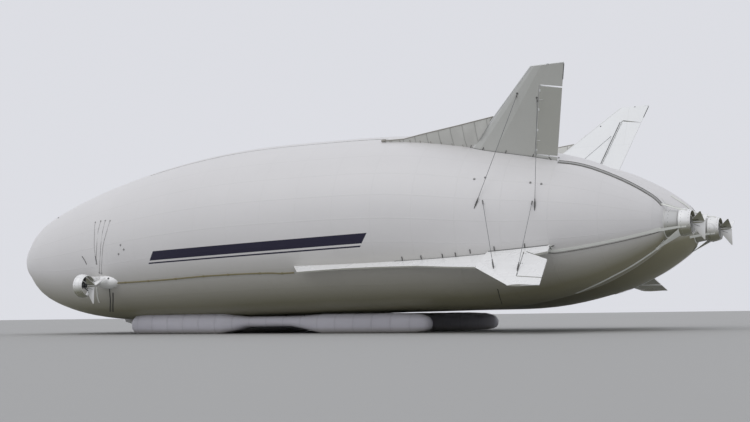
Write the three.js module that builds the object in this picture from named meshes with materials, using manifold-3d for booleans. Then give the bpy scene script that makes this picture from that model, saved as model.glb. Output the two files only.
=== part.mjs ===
// Twin-lobed airship on its landing skids, a 1:10 model in millimetres.
// +X points to the nose, +Y to port and +Z up; the ground is z = 0 and x = 0 is halfway along.
import * as THREE from "three";
import { mergeVertices } from "three/addons/utils/BufferGeometryUtils.js";
import Module from "manifold-3d";

const wasm = await Module();
wasm.setup();

// Driving dimensions.
const NOSE_X = 4600;
const TAIL_X = -4600;
const WALL = 10; // envelope skin and its curtains
const GAP = 0.3; // between pieces that touch
const MOVING_GAP = 5.6; // round a piece that moves
const END_GAP = 16; // at the ends of a control surface, whose edges swing across its neighbour
const FAR = 5000; // past the object on any side, for cutting blocks

// Hull stations: x, lobe radius, height of the lobe's centre, distance of its centre from the middle.
const HULL_STATIONS = [
  [4600, 0, 954, 435],
  [4560, 120, 957, 448],
  [4470, 218, 964, 470],
  [4305, 330, 972, 505],
  [3930, 548, 968, 578],
  [3320, 735, 988, 625],
  [2575, 872, 1049, 652],
  [1710, 955, 1135, 668],
  [730, 1000, 1196, 683],
  [-350, 995, 1216, 697],
  [-1530, 968, 1207, 692],
  [-2550, 870, 1133, 645],
  [-3340, 697, 1117, 603],
  [-3780, 510, 1109, 600],
  [-4080, 318, 1102, 600],
  [-4190, 208, 1095, 600],
  [-4225, 140, 1090, 600],
];
const NOSE_SPACING = 422; // of the reflected station ahead of the nose
const HULL_SEGMENTS = 36;
const LINER_SEGMENTS = 24;

// Propulsors: ducts, propellers and vanes are the same on all four.
const DUCT_RADIUS = 141;
const DUCT_MOUTH = 118; // the duct narrows to this at its rear rim
const DUCT_BORE = 127;
const DUCT_LENGTH = 122;
const VANE_LENGTH = 118;
const VANE_REACH = 184;
const PROP_RADIUS = 118;
const PROP_PLANE = 56; // ahead of the duct's rear rim
const HUB_RADIUS = 26;
const POD_RADIUS = 33;
const BLADES = 3;
// name, x of the duct's rear rim, distance from the middle, height
const PROPULSORS = [
  ["rear", TAIL_X + VANE_LENGTH, 600, 1086],
  ["front", 2463, 1690, 590],
];

// Upper fins lie in planes that lean outwards from the ground line under the keel.
// Their points are x and s, the distance up that plane.
const FIN_LEAN = THREE.MathUtils.degToRad(28.95);
const FIN_ROOT = { s: 1800, lead: -1857, trail: -3151, half: 42 };
const FIN_TIP = { s: 3042, lead: -3140, trail: -3487, half: 13 };
const RUDDER = {
  hinge: { low: [-3003, 2104], high: [-3198, 2826] },
  trail: { low: [-3290, 2045], high: [-3480, 2766] },
  nose: { low: 17, high: 14 },
};
const STRAKE_EDGE = [
  [-1282, 2394],
  [-1530, 2392],
  [-1775, 2433],
  [-2220, 2493],
  [-2660, 2558],
];
const STRAKE_FOOT = [
  [-2200, 1900],
  [-1300, 2000],
];
const STRAKE_THICKNESS = 14;

// Side fins droop; x and w (outwards from their root line) in that plane.
const SIDE_DROOP = THREE.MathUtils.degToRad(24.5);
const SIDE_ORIGIN = [0, 1400, 810];
const SIDE_ROOT = { s: -250, lead: -1915, trail: -3470, half: 34 };
const SIDE_TIP = { s: 850, lead: -3128, trail: -3448, half: 11 };
const SIDE_OUTLINE = [
  [-2610, -300],
  [-2610, 440],
  [-3110, 850],
  [-3445, 850],
  [-3318, 250],
  [-3247, 10],
  [-3200, -300],
];
const ELEVATOR = {
  hinge: { low: [-3026, 49], high: [-3155, 652] },
  trail: { low: [-3360, 270], high: [-3480, 690] },
  nose: { low: 22, high: 13 },
};
const ELEVATOR_WEDGE = [
  [-3140, 107],
  [-3400, -42],
  [-3400, 320],
  [-3140, 130],
];
const SIDE_STRAKE_OUTLINE = [
  [-254, 40],
  [-508, 356],
  [-807, 323],
  [-1055, 300],
  [-1472, 290],
  [-1933, 298],
  [-2306, 352],
  [-2610 + GAP, 384],
  [-2610 + GAP, -200],
  [-254, -200],
];
const SIDE_STRAKE_THICKNESS = 16;

// Skids: x, height of the underside, height of the top, half width.
const SKID_Y = 905;
const SKID_SEGMENTS = 14;
const SKID_SQUARENESS = 0.8; // under 1 fills the section's corners
const SKID_FLAT = 1.12; // over 1 flattens the sole
const SKID_STATIONS = [
  [2420, 80, 150, 40],
  [2380, 25, 205, 95],
  [2270, 4, 228, 125],
  [2100, 0, 236, 135],
  [1500, 0, 236, 135],
  [1060, 0, 232, 130],
  [820, 45, 205, 105],
  [700, 80, 194, 95],
  [60, 82, 192, 95],
  [-170, 40, 196, 100],
  [-350, 0, 206, 115],
  [-1300, 0, 206, 115],
  [-1560, 6, 196, 105],
  [-1670, 28, 170, 80],
  [-1705, 70, 125, 35],
];

// Keel beam and what hangs on it.
const BEAM = { x0: 200, x1: 3700, z0: 352, z1: 384, half: 22 };
const HANGER = { places: [400, 1100, 1800, 2500, 3100], length: 24, half: 12, z1: 620 };
// Modules under the beam: name, x from and to, underside, half width.
const MODULES = [
  ["payload_module", 1250, 1950, 130, 140],
  ["fuel_module", 350, 1000, 150, 130],
];
const MODULE_END = { length: 40, scale: 0.72 };

// Flight deck: x, low, high, then half width at the floor, the middle and the roof.
const DECK_WALL = 9;
const DECK_STATIONS = [
  [3300, 190, 262, 60, 72, 60],
  [3250, 150, 310, 92, 112, 84],
  [3140, 125, 348, 108, 136, 92],
  [2620, 120, 350, 110, 138, 92],
  [2550, 126, 344, 104, 130, 88],
];
const DECK_MIDDLE = 0.45; // the widest line, as a share of the height
const DOOR = { x0: 2985, x1: 3075, z0: 140, z1: 305, gap: 1 };
const SIDE_WINDOWS = { z0: 236, z1: 312, places: [2640, 2750, 2860], length: 90 };
const WINDSCREEN = { x0: 3190, half: 66, z0: 218, z1: 296 };
const LAP = 8; // glass behind the edge of its window
const GLASS = 3;

// Main stays on the port side: where each starts and ends.
const STAY_RADIUS = 2.5;
const STAYS = [
  ["stay_fin_front", [-2938, 1343, 2428], [-2505, 1515, 1255]],
  ["stay_fin_rear", [-3136, 1311, 2370], [-3101, 1369, 1214]],
  ["stay_side_front", [-2585, 1481, 1345], [-2847, 1833, 612]],
  ["stay_side_rear", [-3074, 1356, 1319], [-3110, 1900, 582]],
];

// Colours seen in daylight.
const skinGrey = { color: 0xd9d8d4, roughness: 0.45, metalness: 0 };
const whitePaint = { color: 0xf2f2f0, roughness: 0.35, metalness: 0 };
const finGrey = { color: 0xd6d8d6, roughness: 0.45, metalness: 0 };
const skidGrey = { color: 0xc9c8cf, roughness: 0.55, metalness: 0 };
const darkGrey = { color: 0x3b3d40, roughness: 0.5, metalness: 0.3 };
const bladeBlack = { color: 0x2a2b2d, roughness: 0.4, metalness: 0.1 };
const steel = { color: 0x8d9196, roughness: 0.4, metalness: 0.8 };
const glassTint = { color: 0x2c3840, roughness: 0.08, metalness: 0.1 };

const airship = new THREE.Group();
const finRooms = {};
const sides = [
  ["port", 1],
  ["starboard", -1],
];

// A closed geometry as a solid that can be joined and cut; a mirrored one is turned right side out.
function solid(geometry, matrix = new THREE.Matrix4()) {
  const loose = geometry.index ? geometry.toNonIndexed() : geometry.clone();
  const bare = new THREE.BufferGeometry().setAttribute("position", loose.getAttribute("position"));
  bare.applyMatrix4(matrix);
  const merged = mergeVertices(bare, 1e-3);
  const at = merged.attributes.position.array;
  const index = merged.index.array;
  const faces = [];
  let volume = 0;
  for (let i = 0; i < index.length; i += 3) {
    const [a, b, c] = [index[i], index[i + 1], index[i + 2]];
    if (a === b || b === c || c === a) continue;
    faces.push(a, b, c);
    const [p, q, r] = [a, b, c].map((k) => new THREE.Vector3().fromArray(at, 3 * k));
    volume += p.dot(q.cross(r));
  }
  if (volume < 0) faces.reverse();
  const triVerts = new Uint32Array(faces);
  return new wasm.Manifold(new wasm.Mesh({ numProp: 3, vertProperties: at, triVerts }));
}

// Puts a solid into the airship as one named mesh.
function piece(name, made, finish) {
  const { numProp, numVert, vertProperties, triVerts } = made.getMesh();
  const at = new Float32Array(numVert * 3);
  for (let i = 0; i < numVert; i++) at.set(vertProperties.subarray(i * numProp, i * numProp + 3), i * 3);
  const geometry = new THREE.BufferGeometry();
  geometry.setAttribute("position", new THREE.BufferAttribute(at, 3));
  geometry.setIndex(new THREE.BufferAttribute(triVerts, 1));
  geometry.computeVertexNormals();
  const mesh = new THREE.Mesh(geometry, new THREE.MeshStandardMaterial(finish));
  mesh.name = name;
  airship.add(mesh);
}

// The largest body of a solid, without the slivers that a cut can leave.
function largest(made) {
  return made.decompose().sort((a, b) => b.volume() - a.volume())[0];
}

// A skin over rings that have the same number of points, closed at both ends by a fan.
function loft(rings) {
  const count = rings[0].length;
  const points = rings.flat();
  const faces = [];
  for (let i = 0; i + 1 < rings.length; i++)
    for (let j = 0; j < count; j++) {
      const a = i * count + j;
      const b = i * count + ((j + 1) % count);
      faces.push(a, b, a + count, b, b + count, a + count);
    }
  const ends = [
    [0, true],
    [(rings.length - 1) * count, false],
  ];
  for (const [start, flip] of ends) {
    const ring = points.slice(start, start + count);
    const middle = ring.reduce((sum, p) => sum.add(p), new THREE.Vector3()).divideScalar(count);
    points.push(middle);
    for (let j = 0; j < count; j++) {
      const edge = [start + j, start + ((j + 1) % count)];
      if (flip) edge.reverse();
      faces.push(...edge, points.length - 1);
    }
  }
  const geometry = new THREE.BufferGeometry().setFromPoints(points);
  geometry.setIndex(faces);
  return geometry;
}

// A block between two corners.
function box(x0, y0, z0, x1, y1, z1) {
  const shape = new THREE.BoxGeometry(x1 - x0, y1 - y0, z1 - z0);
  return solid(shape, new THREE.Matrix4().makeTranslation((x0 + x1) / 2, (y0 + y1) / 2, (z0 + z1) / 2));
}

// A round bar between two points, with a radius at each.
function rod(from, to, radiusFrom, radiusTo, segments) {
  const shape = new THREE.CylinderGeometry(radiusTo, radiusFrom, from.distanceTo(to), segments);
  const direction = to.clone().sub(from).normalize();
  const turn = new THREE.Quaternion().setFromUnitVectors(new THREE.Vector3(0, 1, 0), direction);
  const middle = from.clone().add(to).divideScalar(2);
  return solid(shape, new THREE.Matrix4().compose(middle, turn, new THREE.Vector3(1, 1, 1)));
}

// A plate cut to an outline in a local XY plane, its thickness centred on that plane.
function plate(outline, thickness, matrix) {
  const shape = new THREE.Shape(outline.map(([x, y]) => new THREE.Vector2(x, y)));
  const made = new THREE.ExtrudeGeometry(shape, { depth: thickness, bevelEnabled: false });
  made.translate(0, 0, -thickness / 2);
  return solid(made, matrix);
}

// A closed profile of radius and distance along +X, turned about the X axis through a point.
function turned(profile, x, y, z, segments) {
  const outline = profile.map(([r, d]) => new THREE.Vector2(r, d));
  const place = new THREE.Matrix4().makeTranslation(x, y, z);
  place.multiply(new THREE.Matrix4().makeRotationZ(-Math.PI / 2));
  return solid(new THREE.LatheGeometry(outline, segments), place);
}

const mirror = new THREE.Matrix4().makeScale(1, -1, 1);
const onSide = (matrix, hand) => (hand > 0 ? matrix : mirror.clone().multiply(matrix));
const sidePoint = ([x, y, z], hand) => new THREE.Vector3(x, y * hand, z);

// Hull curves: the first point is a reflection past the nose, so that the nose comes out round.
const [noseStation, secondStation] = HULL_STATIONS;
const reflected = [secondStation[0], -secondStation[1], 2 * noseStation[2] - secondStation[2], NOSE_SPACING];
const stations = [reflected, ...HULL_STATIONS];
const smooth = (points) => new THREE.CatmullRomCurve3(points, false, "catmullrom");
const hullLine = smooth(stations.map(([x, r, z]) => new THREE.Vector3(x, r, z)));
const spacingLine = smooth(stations.map(([x, , , y]) => new THREE.Vector3(x, y, 0)));

// The hull's ring at a place u on those curves, from 1 at the nose to the last station's number.
function hullRing(u, wall, segments, hand) {
  const t = u / HULL_STATIONS.length;
  const { x, y: radius, z: height } = hullLine.getPoint(t);
  const spacing = spacingLine.getPoint(t).y;
  const inside = x * (1 - wall / NOSE_X);
  const r = Math.max(radius - wall, 1);
  const ring = [];
  for (let i = 0; i < segments; i++) {
    const angle = (2 * Math.PI * i) / segments;
    const y = spacing + r * Math.cos(angle);
    ring.push(new THREE.Vector3(inside, hand * y, height + r * Math.sin(angle)));
  }
  return ring;
}

// A whole lobe, inset by a wall; its first rings stand close together on the round nose.
function hullLobe(hand, wall, segments, step) {
  const rings = [wall > 0 ? 1.3 : 1.1, 1.5].map((u) => hullRing(u, wall, segments, hand));
  for (let u = 2; u <= HULL_STATIONS.length; u += step) rings.push(hullRing(u, wall, segments, hand));
  return solid(loft(rings));
}

// Envelope: two fabric lobes, open to each other along the middle, where they meet.
const lobes = {};
for (const [side, hand] of sides) {
  const outer = hullLobe(hand, 0, HULL_SEGMENTS, 0.5);
  lobes[side] = hullLobe(hand, -GAP, HULL_SEGMENTS, 0.5);
  const liner = hullLobe(hand, WALL, LINER_SEGMENTS, 1);
  const [y0, y1] = hand > 0 ? [GAP / 2, FAR] : [-FAR, -GAP / 2];
  const half = box(-FAR, y0, 0, FAR, y1, FAR);
  piece("envelope_" + side, outer.subtract(liner).intersect(half), skinGrey);
}
const hull = lobes.port.add(lobes.starboard);

// A wing's section: share of the chord, share of the half thickness.
const SECTION = [
  [0, 0],
  [0.03, 0.34],
  [0.12, 0.74],
  [0.32, 1],
  [0.65, 0.62],
  [1, 0.1],
];
const CUT_THICKNESS = 300; // of plates that cut right through a wing
const NOSE_SEGMENTS = 20;

function wingRing({ s, lead, trail, half }) {
  const at = ([f, t], face) => new THREE.Vector3(lead + f * (trail - lead), s, face * t * half);
  const upper = SECTION.map((place) => at(place, 1));
  const lower = SECTION.slice(1).map((place) => at(place, -1));
  return [...upper, ...lower.reverse()];
}

// A wing between two sections, and the slightly larger room that its neighbours leave for it.
function wing(root, tip, matrix) {
  const grown = (section) => ({ ...section, lead: section.lead + 1, half: section.half + 2 * GAP });
  const room = solid(loft([wingRing(grown(root)), wingRing(grown(tip))]), matrix);
  return [solid(loft([wingRing(root), wingRing(tip)]), matrix), room];
}

// Cuts a control surface out of a wing: its nose is a round bar on the hinge line.
function controlSurface(whole, { hinge, trail, nose }, matrix) {
  const beyond = ([x, s], distance) => [x, s + distance];
  const outline = [hinge.low, hinge.high, trail.high, trail.low];
  const bay = outline.map((p, i) => beyond(p, i === 1 || i === 2 ? END_GAP : -END_GAP));
  const blade = plate(outline, CUT_THICKNESS, matrix);
  const hole = plate(bay, CUT_THICKNESS, matrix);
  const [from, to] = [hinge.low, hinge.high].map(([x, s]) => new THREE.Vector3(x, s, 0).applyMatrix4(matrix));
  const reach = to.clone().sub(from).normalize().multiplyScalar(MOVING_GAP);
  const bar = rod(from, to, nose.low, nose.high, NOSE_SEGMENTS);
  const coveEnds = [from.clone().sub(reach), to.clone().add(reach)];
  const cove = rod(...coveEnds, nose.low + MOVING_GAP, nose.high + MOVING_GAP, NOSE_SEGMENTS);
  return {
    moving: largest(whole.intersect(blade).add(bar)),
    fixed: whole.subtract(hole).subtract(cove),
  };
}

// Upper fins, rudders and the fabric strakes ahead of them.
for (const [side, hand] of sides) {
  const basis = new THREE.Matrix4().makeBasis(
    new THREE.Vector3(1, 0, 0),
    new THREE.Vector3(0, Math.sin(FIN_LEAN), Math.cos(FIN_LEAN)),
    new THREE.Vector3(0, -Math.cos(FIN_LEAN), Math.sin(FIN_LEAN)),
  );
  const plane = onSide(basis, hand);
  const [whole, room] = wing(FIN_ROOT, FIN_TIP, plane);
  finRooms["upper_" + side] = room;
  const { fixed, moving } = controlSurface(whole, RUDDER, plane);
  piece("fin_upper_" + side, largest(fixed.subtract(hull)), finGrey);
  piece("rudder_" + side, moving, finGrey);
  const strake = plate([...STRAKE_EDGE, ...STRAKE_FOOT], STRAKE_THICKNESS, plane);
  piece("dorsal_strake_" + side, largest(strake.subtract(room).subtract(hull)), finGrey);
}

// Side fins, elevators and the long strakes ahead of them.
for (const [side, hand] of sides) {
  const basis = new THREE.Matrix4().makeRotationX(-SIDE_DROOP);
  basis.setPosition(...SIDE_ORIGIN);
  const plane = onSide(basis, hand);
  const [whole, room] = wing(SIDE_ROOT, SIDE_TIP, plane);
  finRooms["side_" + side] = room;
  const trimmed = whole.intersect(plate(SIDE_OUTLINE, CUT_THICKNESS, plane));
  const { fixed, moving } = controlSurface(trimmed, ELEVATOR, plane);
  const wedge = plate(ELEVATOR_WEDGE, CUT_THICKNESS, plane);
  piece("side_fin_" + side, largest(fixed.subtract(wedge).subtract(hull)), whitePaint);
  piece("elevator_" + side, moving, whitePaint);
  const strake = plate(SIDE_STRAKE_OUTLINE, SIDE_STRAKE_THICKNESS, plane);
  piece("side_strake_" + side, largest(strake.subtract(hull)), whitePaint);
}

// Skids: long air cushions, raised in the middle, tucked against the hull.
for (const [side, hand] of sides) {
  const rings = SKID_STATIONS.map(([x, low, high, half]) => {
    const ring = [];
    for (let i = 0; i < SKID_SEGMENTS; i++) {
      const angle = (2 * Math.PI * (i + 0.5)) / SKID_SEGMENTS;
      const [across, up] = [Math.cos(angle), Math.sin(angle)].map(
        (v) => Math.sign(v) * Math.abs(v) ** SKID_SQUARENESS,
      );
      const rise = Math.max(-1, SKID_FLAT * up);
      const z = (low + high) / 2 + (rise * (high - low)) / 2;
      ring.push(new THREE.Vector3(x, hand * (SKID_Y + across * half), z));
    }
    return ring;
  });
  piece("skid_" + side, largest(solid(loft(rings)).subtract(hull)), skidGrey);
}

// Keel: a beam along the middle, hung from the hull, that carries the flight deck and two modules.
let beam = box(BEAM.x0, -BEAM.half, BEAM.z0, BEAM.x1, BEAM.half, BEAM.z1);
for (const x of HANGER.places) {
  const { length, half, z1 } = HANGER;
  beam = beam.add(box(x, -half, BEAM.z1 - 5, x + length, half, z1));
}
piece("keel_beam", largest(beam.subtract(hull)), darkGrey);

// Mooring fitting: a flanged spindle on the beam's front end, as radius and distance.
const MOORING_PROFILE = [
  [0, 0],
  [40, 0],
  [40, 30],
  [16, 60],
  [16, 110],
  [26, 118],
  [26, 140],
  [0, 150],
];
const mooring = turned(MOORING_PROFILE, BEAM.x1 + GAP, 0, (BEAM.z0 + BEAM.z1) / 2, 16);
piece("mooring_fitting", mooring, steel);

// Flight deck: a hollow cabin with its door and windows cut.
function deckRings(inset) {
  const last = DECK_STATIONS.length - 1;
  return DECK_STATIONS.map(([x, low, high, halfLow, halfMiddle, halfHigh], i) => {
    const endwise = i === 0 ? -inset : i === last ? inset : 0;
    const corners = [
      [halfLow - inset, low + inset],
      [halfMiddle - inset, low + DECK_MIDDLE * (high - low)],
      [halfHigh - inset, high - inset],
    ];
    const left = corners.map(([y, z]) => new THREE.Vector3(x + endwise, y, z));
    const right = corners.map(([y, z]) => new THREE.Vector3(x + endwise, -y, z)).reverse();
    return [...left, ...right];
  });
}
const deckSolid = (inset) => solid(loft(deckRings(inset)));
const deckSkin = deckSolid(0).subtract(deckSolid(DECK_WALL));

// A block from the cabin's middle plane out through one side.
function sideBlock(hand, x0, z0, x1, z1) {
  const [y0, y1] = hand > 0 ? [40, 200] : [-200, -40];
  return box(x0, y0, z0, x1, y1, z1);
}
// A block through the windscreen's opening, larger by a margin.
function screenBlock(margin) {
  const { x0, half, z0, z1 } = WINDSCREEN;
  return box(x0 - margin, -half - margin, z0 - margin, 3400, half + margin, z1 + margin);
}
const doorway = sideBlock(1, DOOR.x0, DOOR.z0, DOOR.x1, DOOR.z1);
const { gap: doorGap } = DOOR;
const doorBlank = sideBlock(1, DOOR.x0 + doorGap, DOOR.z0 + doorGap, DOOR.x1 - doorGap, DOOR.z1 - doorGap);
let shell = deckSkin.subtract(doorway).subtract(screenBlock(0));
for (const [, hand] of sides)
  for (const x of SIDE_WINDOWS.places) {
    const { z0, z1, length } = SIDE_WINDOWS;
    shell = shell.subtract(sideBlock(hand, x, z0, x + length, z1));
  }
piece("flight_deck", largest(shell), whitePaint);
piece("deck_door", largest(deckSkin.intersect(doorBlank)), whitePaint);

// Glazing: sheets on the inside of the cabin's wall, each covering its windows by a lap.
const glassSkin = deckSolid(DECK_WALL + GAP).subtract(deckSolid(DECK_WALL + GAP + GLASS));
for (const [side, hand] of sides) {
  const { z0, z1, places, length } = SIDE_WINDOWS;
  const band = sideBlock(hand, places[0] - LAP, z0 - LAP, places.at(-1) + length + LAP, z1 + LAP);
  piece("glazing_" + side, largest(glassSkin.intersect(band)), glassTint);
}
piece("windscreen", largest(glassSkin.intersect(screenBlock(LAP))), glassTint);

// Payload and fuel modules: closed boxes with sloped shoulders and tapered ends.
for (const [name, x0, x1, low, half] of MODULES) {
  const high = BEAM.z0 - GAP;
  const middle = (low + high) / 2;
  const section = [
    [half * 0.7, low],
    [half, low + 60],
    [half, high - 50],
    [half * 0.6, high],
  ];
  const rings = [
    [x0, MODULE_END.scale],
    [x0 + MODULE_END.length, 1],
    [x1 - MODULE_END.length, 1],
    [x1, MODULE_END.scale],
  ].map(([x, scale]) => {
    const side = (hand) =>
      section.map(([y, z]) => new THREE.Vector3(x, hand * scale * y, middle + scale * (z - middle)));
    return [...side(1), ...side(-1).reverse()];
  });
  piece(name, largest(solid(loft(rings)).subtract(hull)), whitePaint);
}

// Duct: radius and distance ahead of its rear rim.
const DUCT_SKIN = [
  [DUCT_MOUTH, 0],
  [DUCT_MOUTH + 13, 40],
  [DUCT_RADIUS, 82],
  [DUCT_RADIUS, 104],
];
const DUCT_PROFILE = [
  [DUCT_MOUTH - 6, 3],
  ...DUCT_SKIN,
  [DUCT_RADIUS - 7, DUCT_LENGTH],
  [DUCT_BORE, 108],
  [DUCT_BORE, 60],
  [DUCT_BORE - 2, 40],
  [DUCT_MOUTH - 6, 3],
];
const POD_START = 74;
const STRUTS = { count: 3, chord: 26, thickness: 8, x: 95, inner: 10 };
const HUB_PROFILE = [
  [0, 20],
  [12, 22],
  [HUB_RADIUS - 4, 34],
  [HUB_RADIUS, 48],
  [HUB_RADIUS, 68],
  [8, 68],
  [8, POD_START - 1],
  [0, POD_START - 1],
];
// Blade: radius, half chord, half thickness, pitch in degrees.
const BLADE_STATIONS = [
  [15, 15, 5, 50],
  [45, 22, 4.5, 42],
  [85, 19, 3, 30],
  [PROP_RADIUS, 10, 2, 22],
];
const BLADE_FLATTEN = 0.6; // keeps the pitched blade inside its slot along the axis
// Vane: distance behind the duct's rim and out from the axis, with an arm that meets the rim.
const vaneOutline = (length, reach, waist) => [
  [-GAP, 5],
  [-GAP, DUCT_MOUTH - 1],
  [-9, DUCT_MOUTH - 1],
  [-9, waist],
  [10 - length, reach - 2],
  [-length, reach],
  [-length, 5],
];
const VANE_OUTLINE = vaneOutline(VANE_LENGTH, VANE_REACH, 60);
const KEEL_VANE_OUTLINE = vaneOutline(90, 220, 112); // the front sets' lowest vane is deeper
const VANES = { count: 3, thickness: 6 };
const TAIL_CONE_PROFILE = [
  [0, 8 - VANE_LENGTH],
  [13, 14 - VANE_LENGTH],
  [15, -10],
  [15, -GAP],
  [0, -GAP],
];

// Copies of a solid spaced evenly about an X axis; the first is turned by a start angle.
function aroundX(count, start, x, y, z, make) {
  return Array.from({ length: count }, (_, i) => {
    const swing = new THREE.Matrix4().makeTranslation(x, y, z);
    swing.multiply(new THREE.Matrix4().makeRotationX((2 * Math.PI * i) / count + start));
    return make(swing, i);
  });
}
const joined = (first, rest) => largest(rest.reduce((sum, next) => sum.add(next), first));

// Propulsors: duct, engine pod on struts, propeller and the vanes behind it.
for (const [place, rear, reachY, height] of PROPULSORS)
  for (const [side, hand] of sides) {
    const y = hand * reachY;
    const name = "_" + place + "_" + side;
    const lathe = (profile, segments) => turned(profile, rear, y, height, segments);
    piece("duct" + name, lathe(DUCT_PROFILE, 30), whitePaint);

    // The rear pods run on into the stern collars; the front ones end in a blunt nose.
    const podEnd = DUCT_LENGTH + (place === "rear" ? 6 - GAP : 22);
    const podShoulder = place === "rear" ? [POD_RADIUS, podEnd] : [POD_RADIUS * 0.6, podEnd - 6];
    const pod = lathe(
      [
        [0, POD_START],
        [HUB_RADIUS - 4, POD_START],
        [POD_RADIUS, POD_START + 8],
        [POD_RADIUS, DUCT_LENGTH],
        podShoulder,
        [0, podEnd],
      ],
      16,
    );
    const strutReach = DUCT_BORE - 3 * GAP;
    const bore = lathe(
      [
        [0, 60],
        [strutReach, 60],
        [strutReach, 118],
        [0, 118],
      ],
      36,
    );
    const struts = aroundX(STRUTS.count, Math.PI / 2, 0, y, height, (swing) => {
      const bar = new THREE.BoxGeometry(STRUTS.chord, DUCT_BORE - STRUTS.inner, STRUTS.thickness);
      bar.translate(rear + STRUTS.x, (DUCT_BORE + STRUTS.inner) / 2, 0);
      return solid(bar, swing).intersect(bore);
    });
    piece("engine_pod" + name, joined(pod, struts), darkGrey);

    // Propeller: a hub, a short shaft and twisted blades.
    const bladeRings = BLADE_STATIONS.map(([r, halfChord, halfThick, pitch]) => {
      const turn = THREE.MathUtils.degToRad(pitch);
      const corners = [
        [-halfChord, 0],
        [0, -halfThick],
        [halfChord, 0],
        [0, halfThick],
      ];
      return corners.map(([c, t]) => {
        const across = c * Math.cos(turn) - t * Math.sin(turn);
        const axial = c * Math.sin(turn) + t * Math.cos(turn);
        return new THREE.Vector3(rear + PROP_PLANE + axial * BLADE_FLATTEN, across, r);
      });
    });
    const blades = aroundX(BLADES, 0, 0, y, height, (swing) => solid(loft(bladeRings), swing));
    piece("propeller" + name, joined(lathe(HUB_PROFILE, 14), blades), bladeBlack);

    // Vanes: deltas behind the duct on a tail cone, one of them straight down.
    const keelVane = place === "front" ? KEEL_VANE_OUTLINE : VANE_OUTLINE;
    const vanes = aroundX(VANES.count, -Math.PI / 2, rear, y, height, (swing, i) =>
      plate(i === 0 ? keelVane : VANE_OUTLINE, VANES.thickness, swing),
    );
    piece("vane_set" + name, joined(lathe(TAIL_CONE_PROFILE, 12), vanes), whitePaint);
  }

// Stern collars join the rear pods to the envelope's end rings.
const collarStart = TAIL_X + VANE_LENGTH + DUCT_LENGTH + 6;
const collarLength = HULL_STATIONS.at(-1)[0] - GAP - collarStart;
const COLLAR_PROFILE = [
  [0, 0],
  [116, 0],
  [125, 10],
  [138, collarLength],
  [0, collarLength],
];
for (const [side, hand] of sides) {
  const [, , reachY, height] = PROPULSORS[0];
  piece("stern_collar_" + side, turned(COLLAR_PROFILE, collarStart, hand * reachY, height, 32), whitePaint);
}

// Front pylons: a faired blister on the hull and a flattened arm that holds the duct.
const BLISTER = { at: [2390, 1425, 640], radii: [190, 85, 88] };
const ARM = { tip: 54, root: 64, length: 200, y: 1490, x: 44, z: 58, flatten: [1.1, 1, 1] };
for (const [side, hand] of sides) {
  const [, rear, reachY, height] = PROPULSORS[1];
  const place = new THREE.Matrix4().compose(
    sidePoint(BLISTER.at, hand),
    new THREE.Quaternion(),
    new THREE.Vector3(...BLISTER.radii),
  );
  const blister = solid(new THREE.SphereGeometry(1, 18, 10), place);
  const [top, foot] = hand > 0 ? [ARM.tip, ARM.root] : [ARM.root, ARM.tip];
  const tube = new THREE.CylinderGeometry(top, foot, ARM.length, 16);
  tube.scale(...ARM.flatten);
  const arm = solid(tube, new THREE.Matrix4().makeTranslation(rear + ARM.x, hand * ARM.y, height + ARM.z));
  const room = [[0, -60], [DUCT_MOUTH, -60], ...DUCT_SKIN, [DUCT_RADIUS, 180], [0, 180]].map(
    ([radius, x]) => [radius && radius + GAP, x],
  );
  const ductRoom = turned(room, rear, hand * reachY, height, 72);
  piece("pylon_" + side, largest(blister.add(arm).subtract(hull).subtract(ductRoom)), whitePaint);
}

// Main stays of the fins, drawn taut between their fittings.
for (const [name, from, to] of STAYS)
  for (const [side, hand] of sides) {
    const [a, b] = [sidePoint(from, hand), sidePoint(to, hand)];
    const held = finRooms[(name.startsWith("stay_fin") ? "upper_" : "side_") + side];
    const stay = rod(a, b, STAY_RADIUS, STAY_RADIUS, 8).subtract(hull).subtract(held);
    piece(name + "_" + side, largest(stay), steel);
  }

export default airship;
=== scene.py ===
from math import atan2, cos, degrees, hypot, pi, radians, sin

import bmesh
import bpy
from mathutils import Matrix, Vector


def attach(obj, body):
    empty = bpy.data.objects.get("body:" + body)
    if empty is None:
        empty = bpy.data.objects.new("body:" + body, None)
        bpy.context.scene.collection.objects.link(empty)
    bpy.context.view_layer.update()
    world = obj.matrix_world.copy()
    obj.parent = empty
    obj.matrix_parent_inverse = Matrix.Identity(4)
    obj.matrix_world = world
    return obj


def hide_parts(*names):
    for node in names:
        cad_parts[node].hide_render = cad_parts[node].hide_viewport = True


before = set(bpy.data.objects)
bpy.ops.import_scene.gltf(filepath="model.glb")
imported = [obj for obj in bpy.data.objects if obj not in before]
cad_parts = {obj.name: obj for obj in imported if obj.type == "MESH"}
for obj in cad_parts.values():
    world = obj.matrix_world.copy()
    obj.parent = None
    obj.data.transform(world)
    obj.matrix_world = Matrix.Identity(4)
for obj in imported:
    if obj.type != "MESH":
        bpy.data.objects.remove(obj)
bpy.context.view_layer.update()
bpy.ops.object.select_all(action="DESELECT")


# Camera: at the height of a standing person beside the full-size airship, off its port quarter.
# It looks forward along the hull towards the nose, and is rolled by under a degree.
turn, rise, roll = radians(28.85), radians(4.926), radians(0.73)
ahead = Vector((sin(turn) * cos(rise), -cos(turn) * cos(rise), sin(rise)))
right = Vector((-cos(turn), -sin(turn), 0))
over = right.cross(ahead)
bpy.ops.object.camera_add()
camera = bpy.context.object
across, upright = cos(roll) * right - sin(roll) * over, sin(roll) * right + cos(roll) * over
camera.matrix_world = Matrix((across, upright, -ahead)).transposed().to_4x4()
camera.location = (-7.493, 12.647, 0.20)
camera.data.lens = 57.82
camera.data.sensor_width = 36
camera.data.clip_end = 2000
bpy.context.scene.camera = camera


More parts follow.
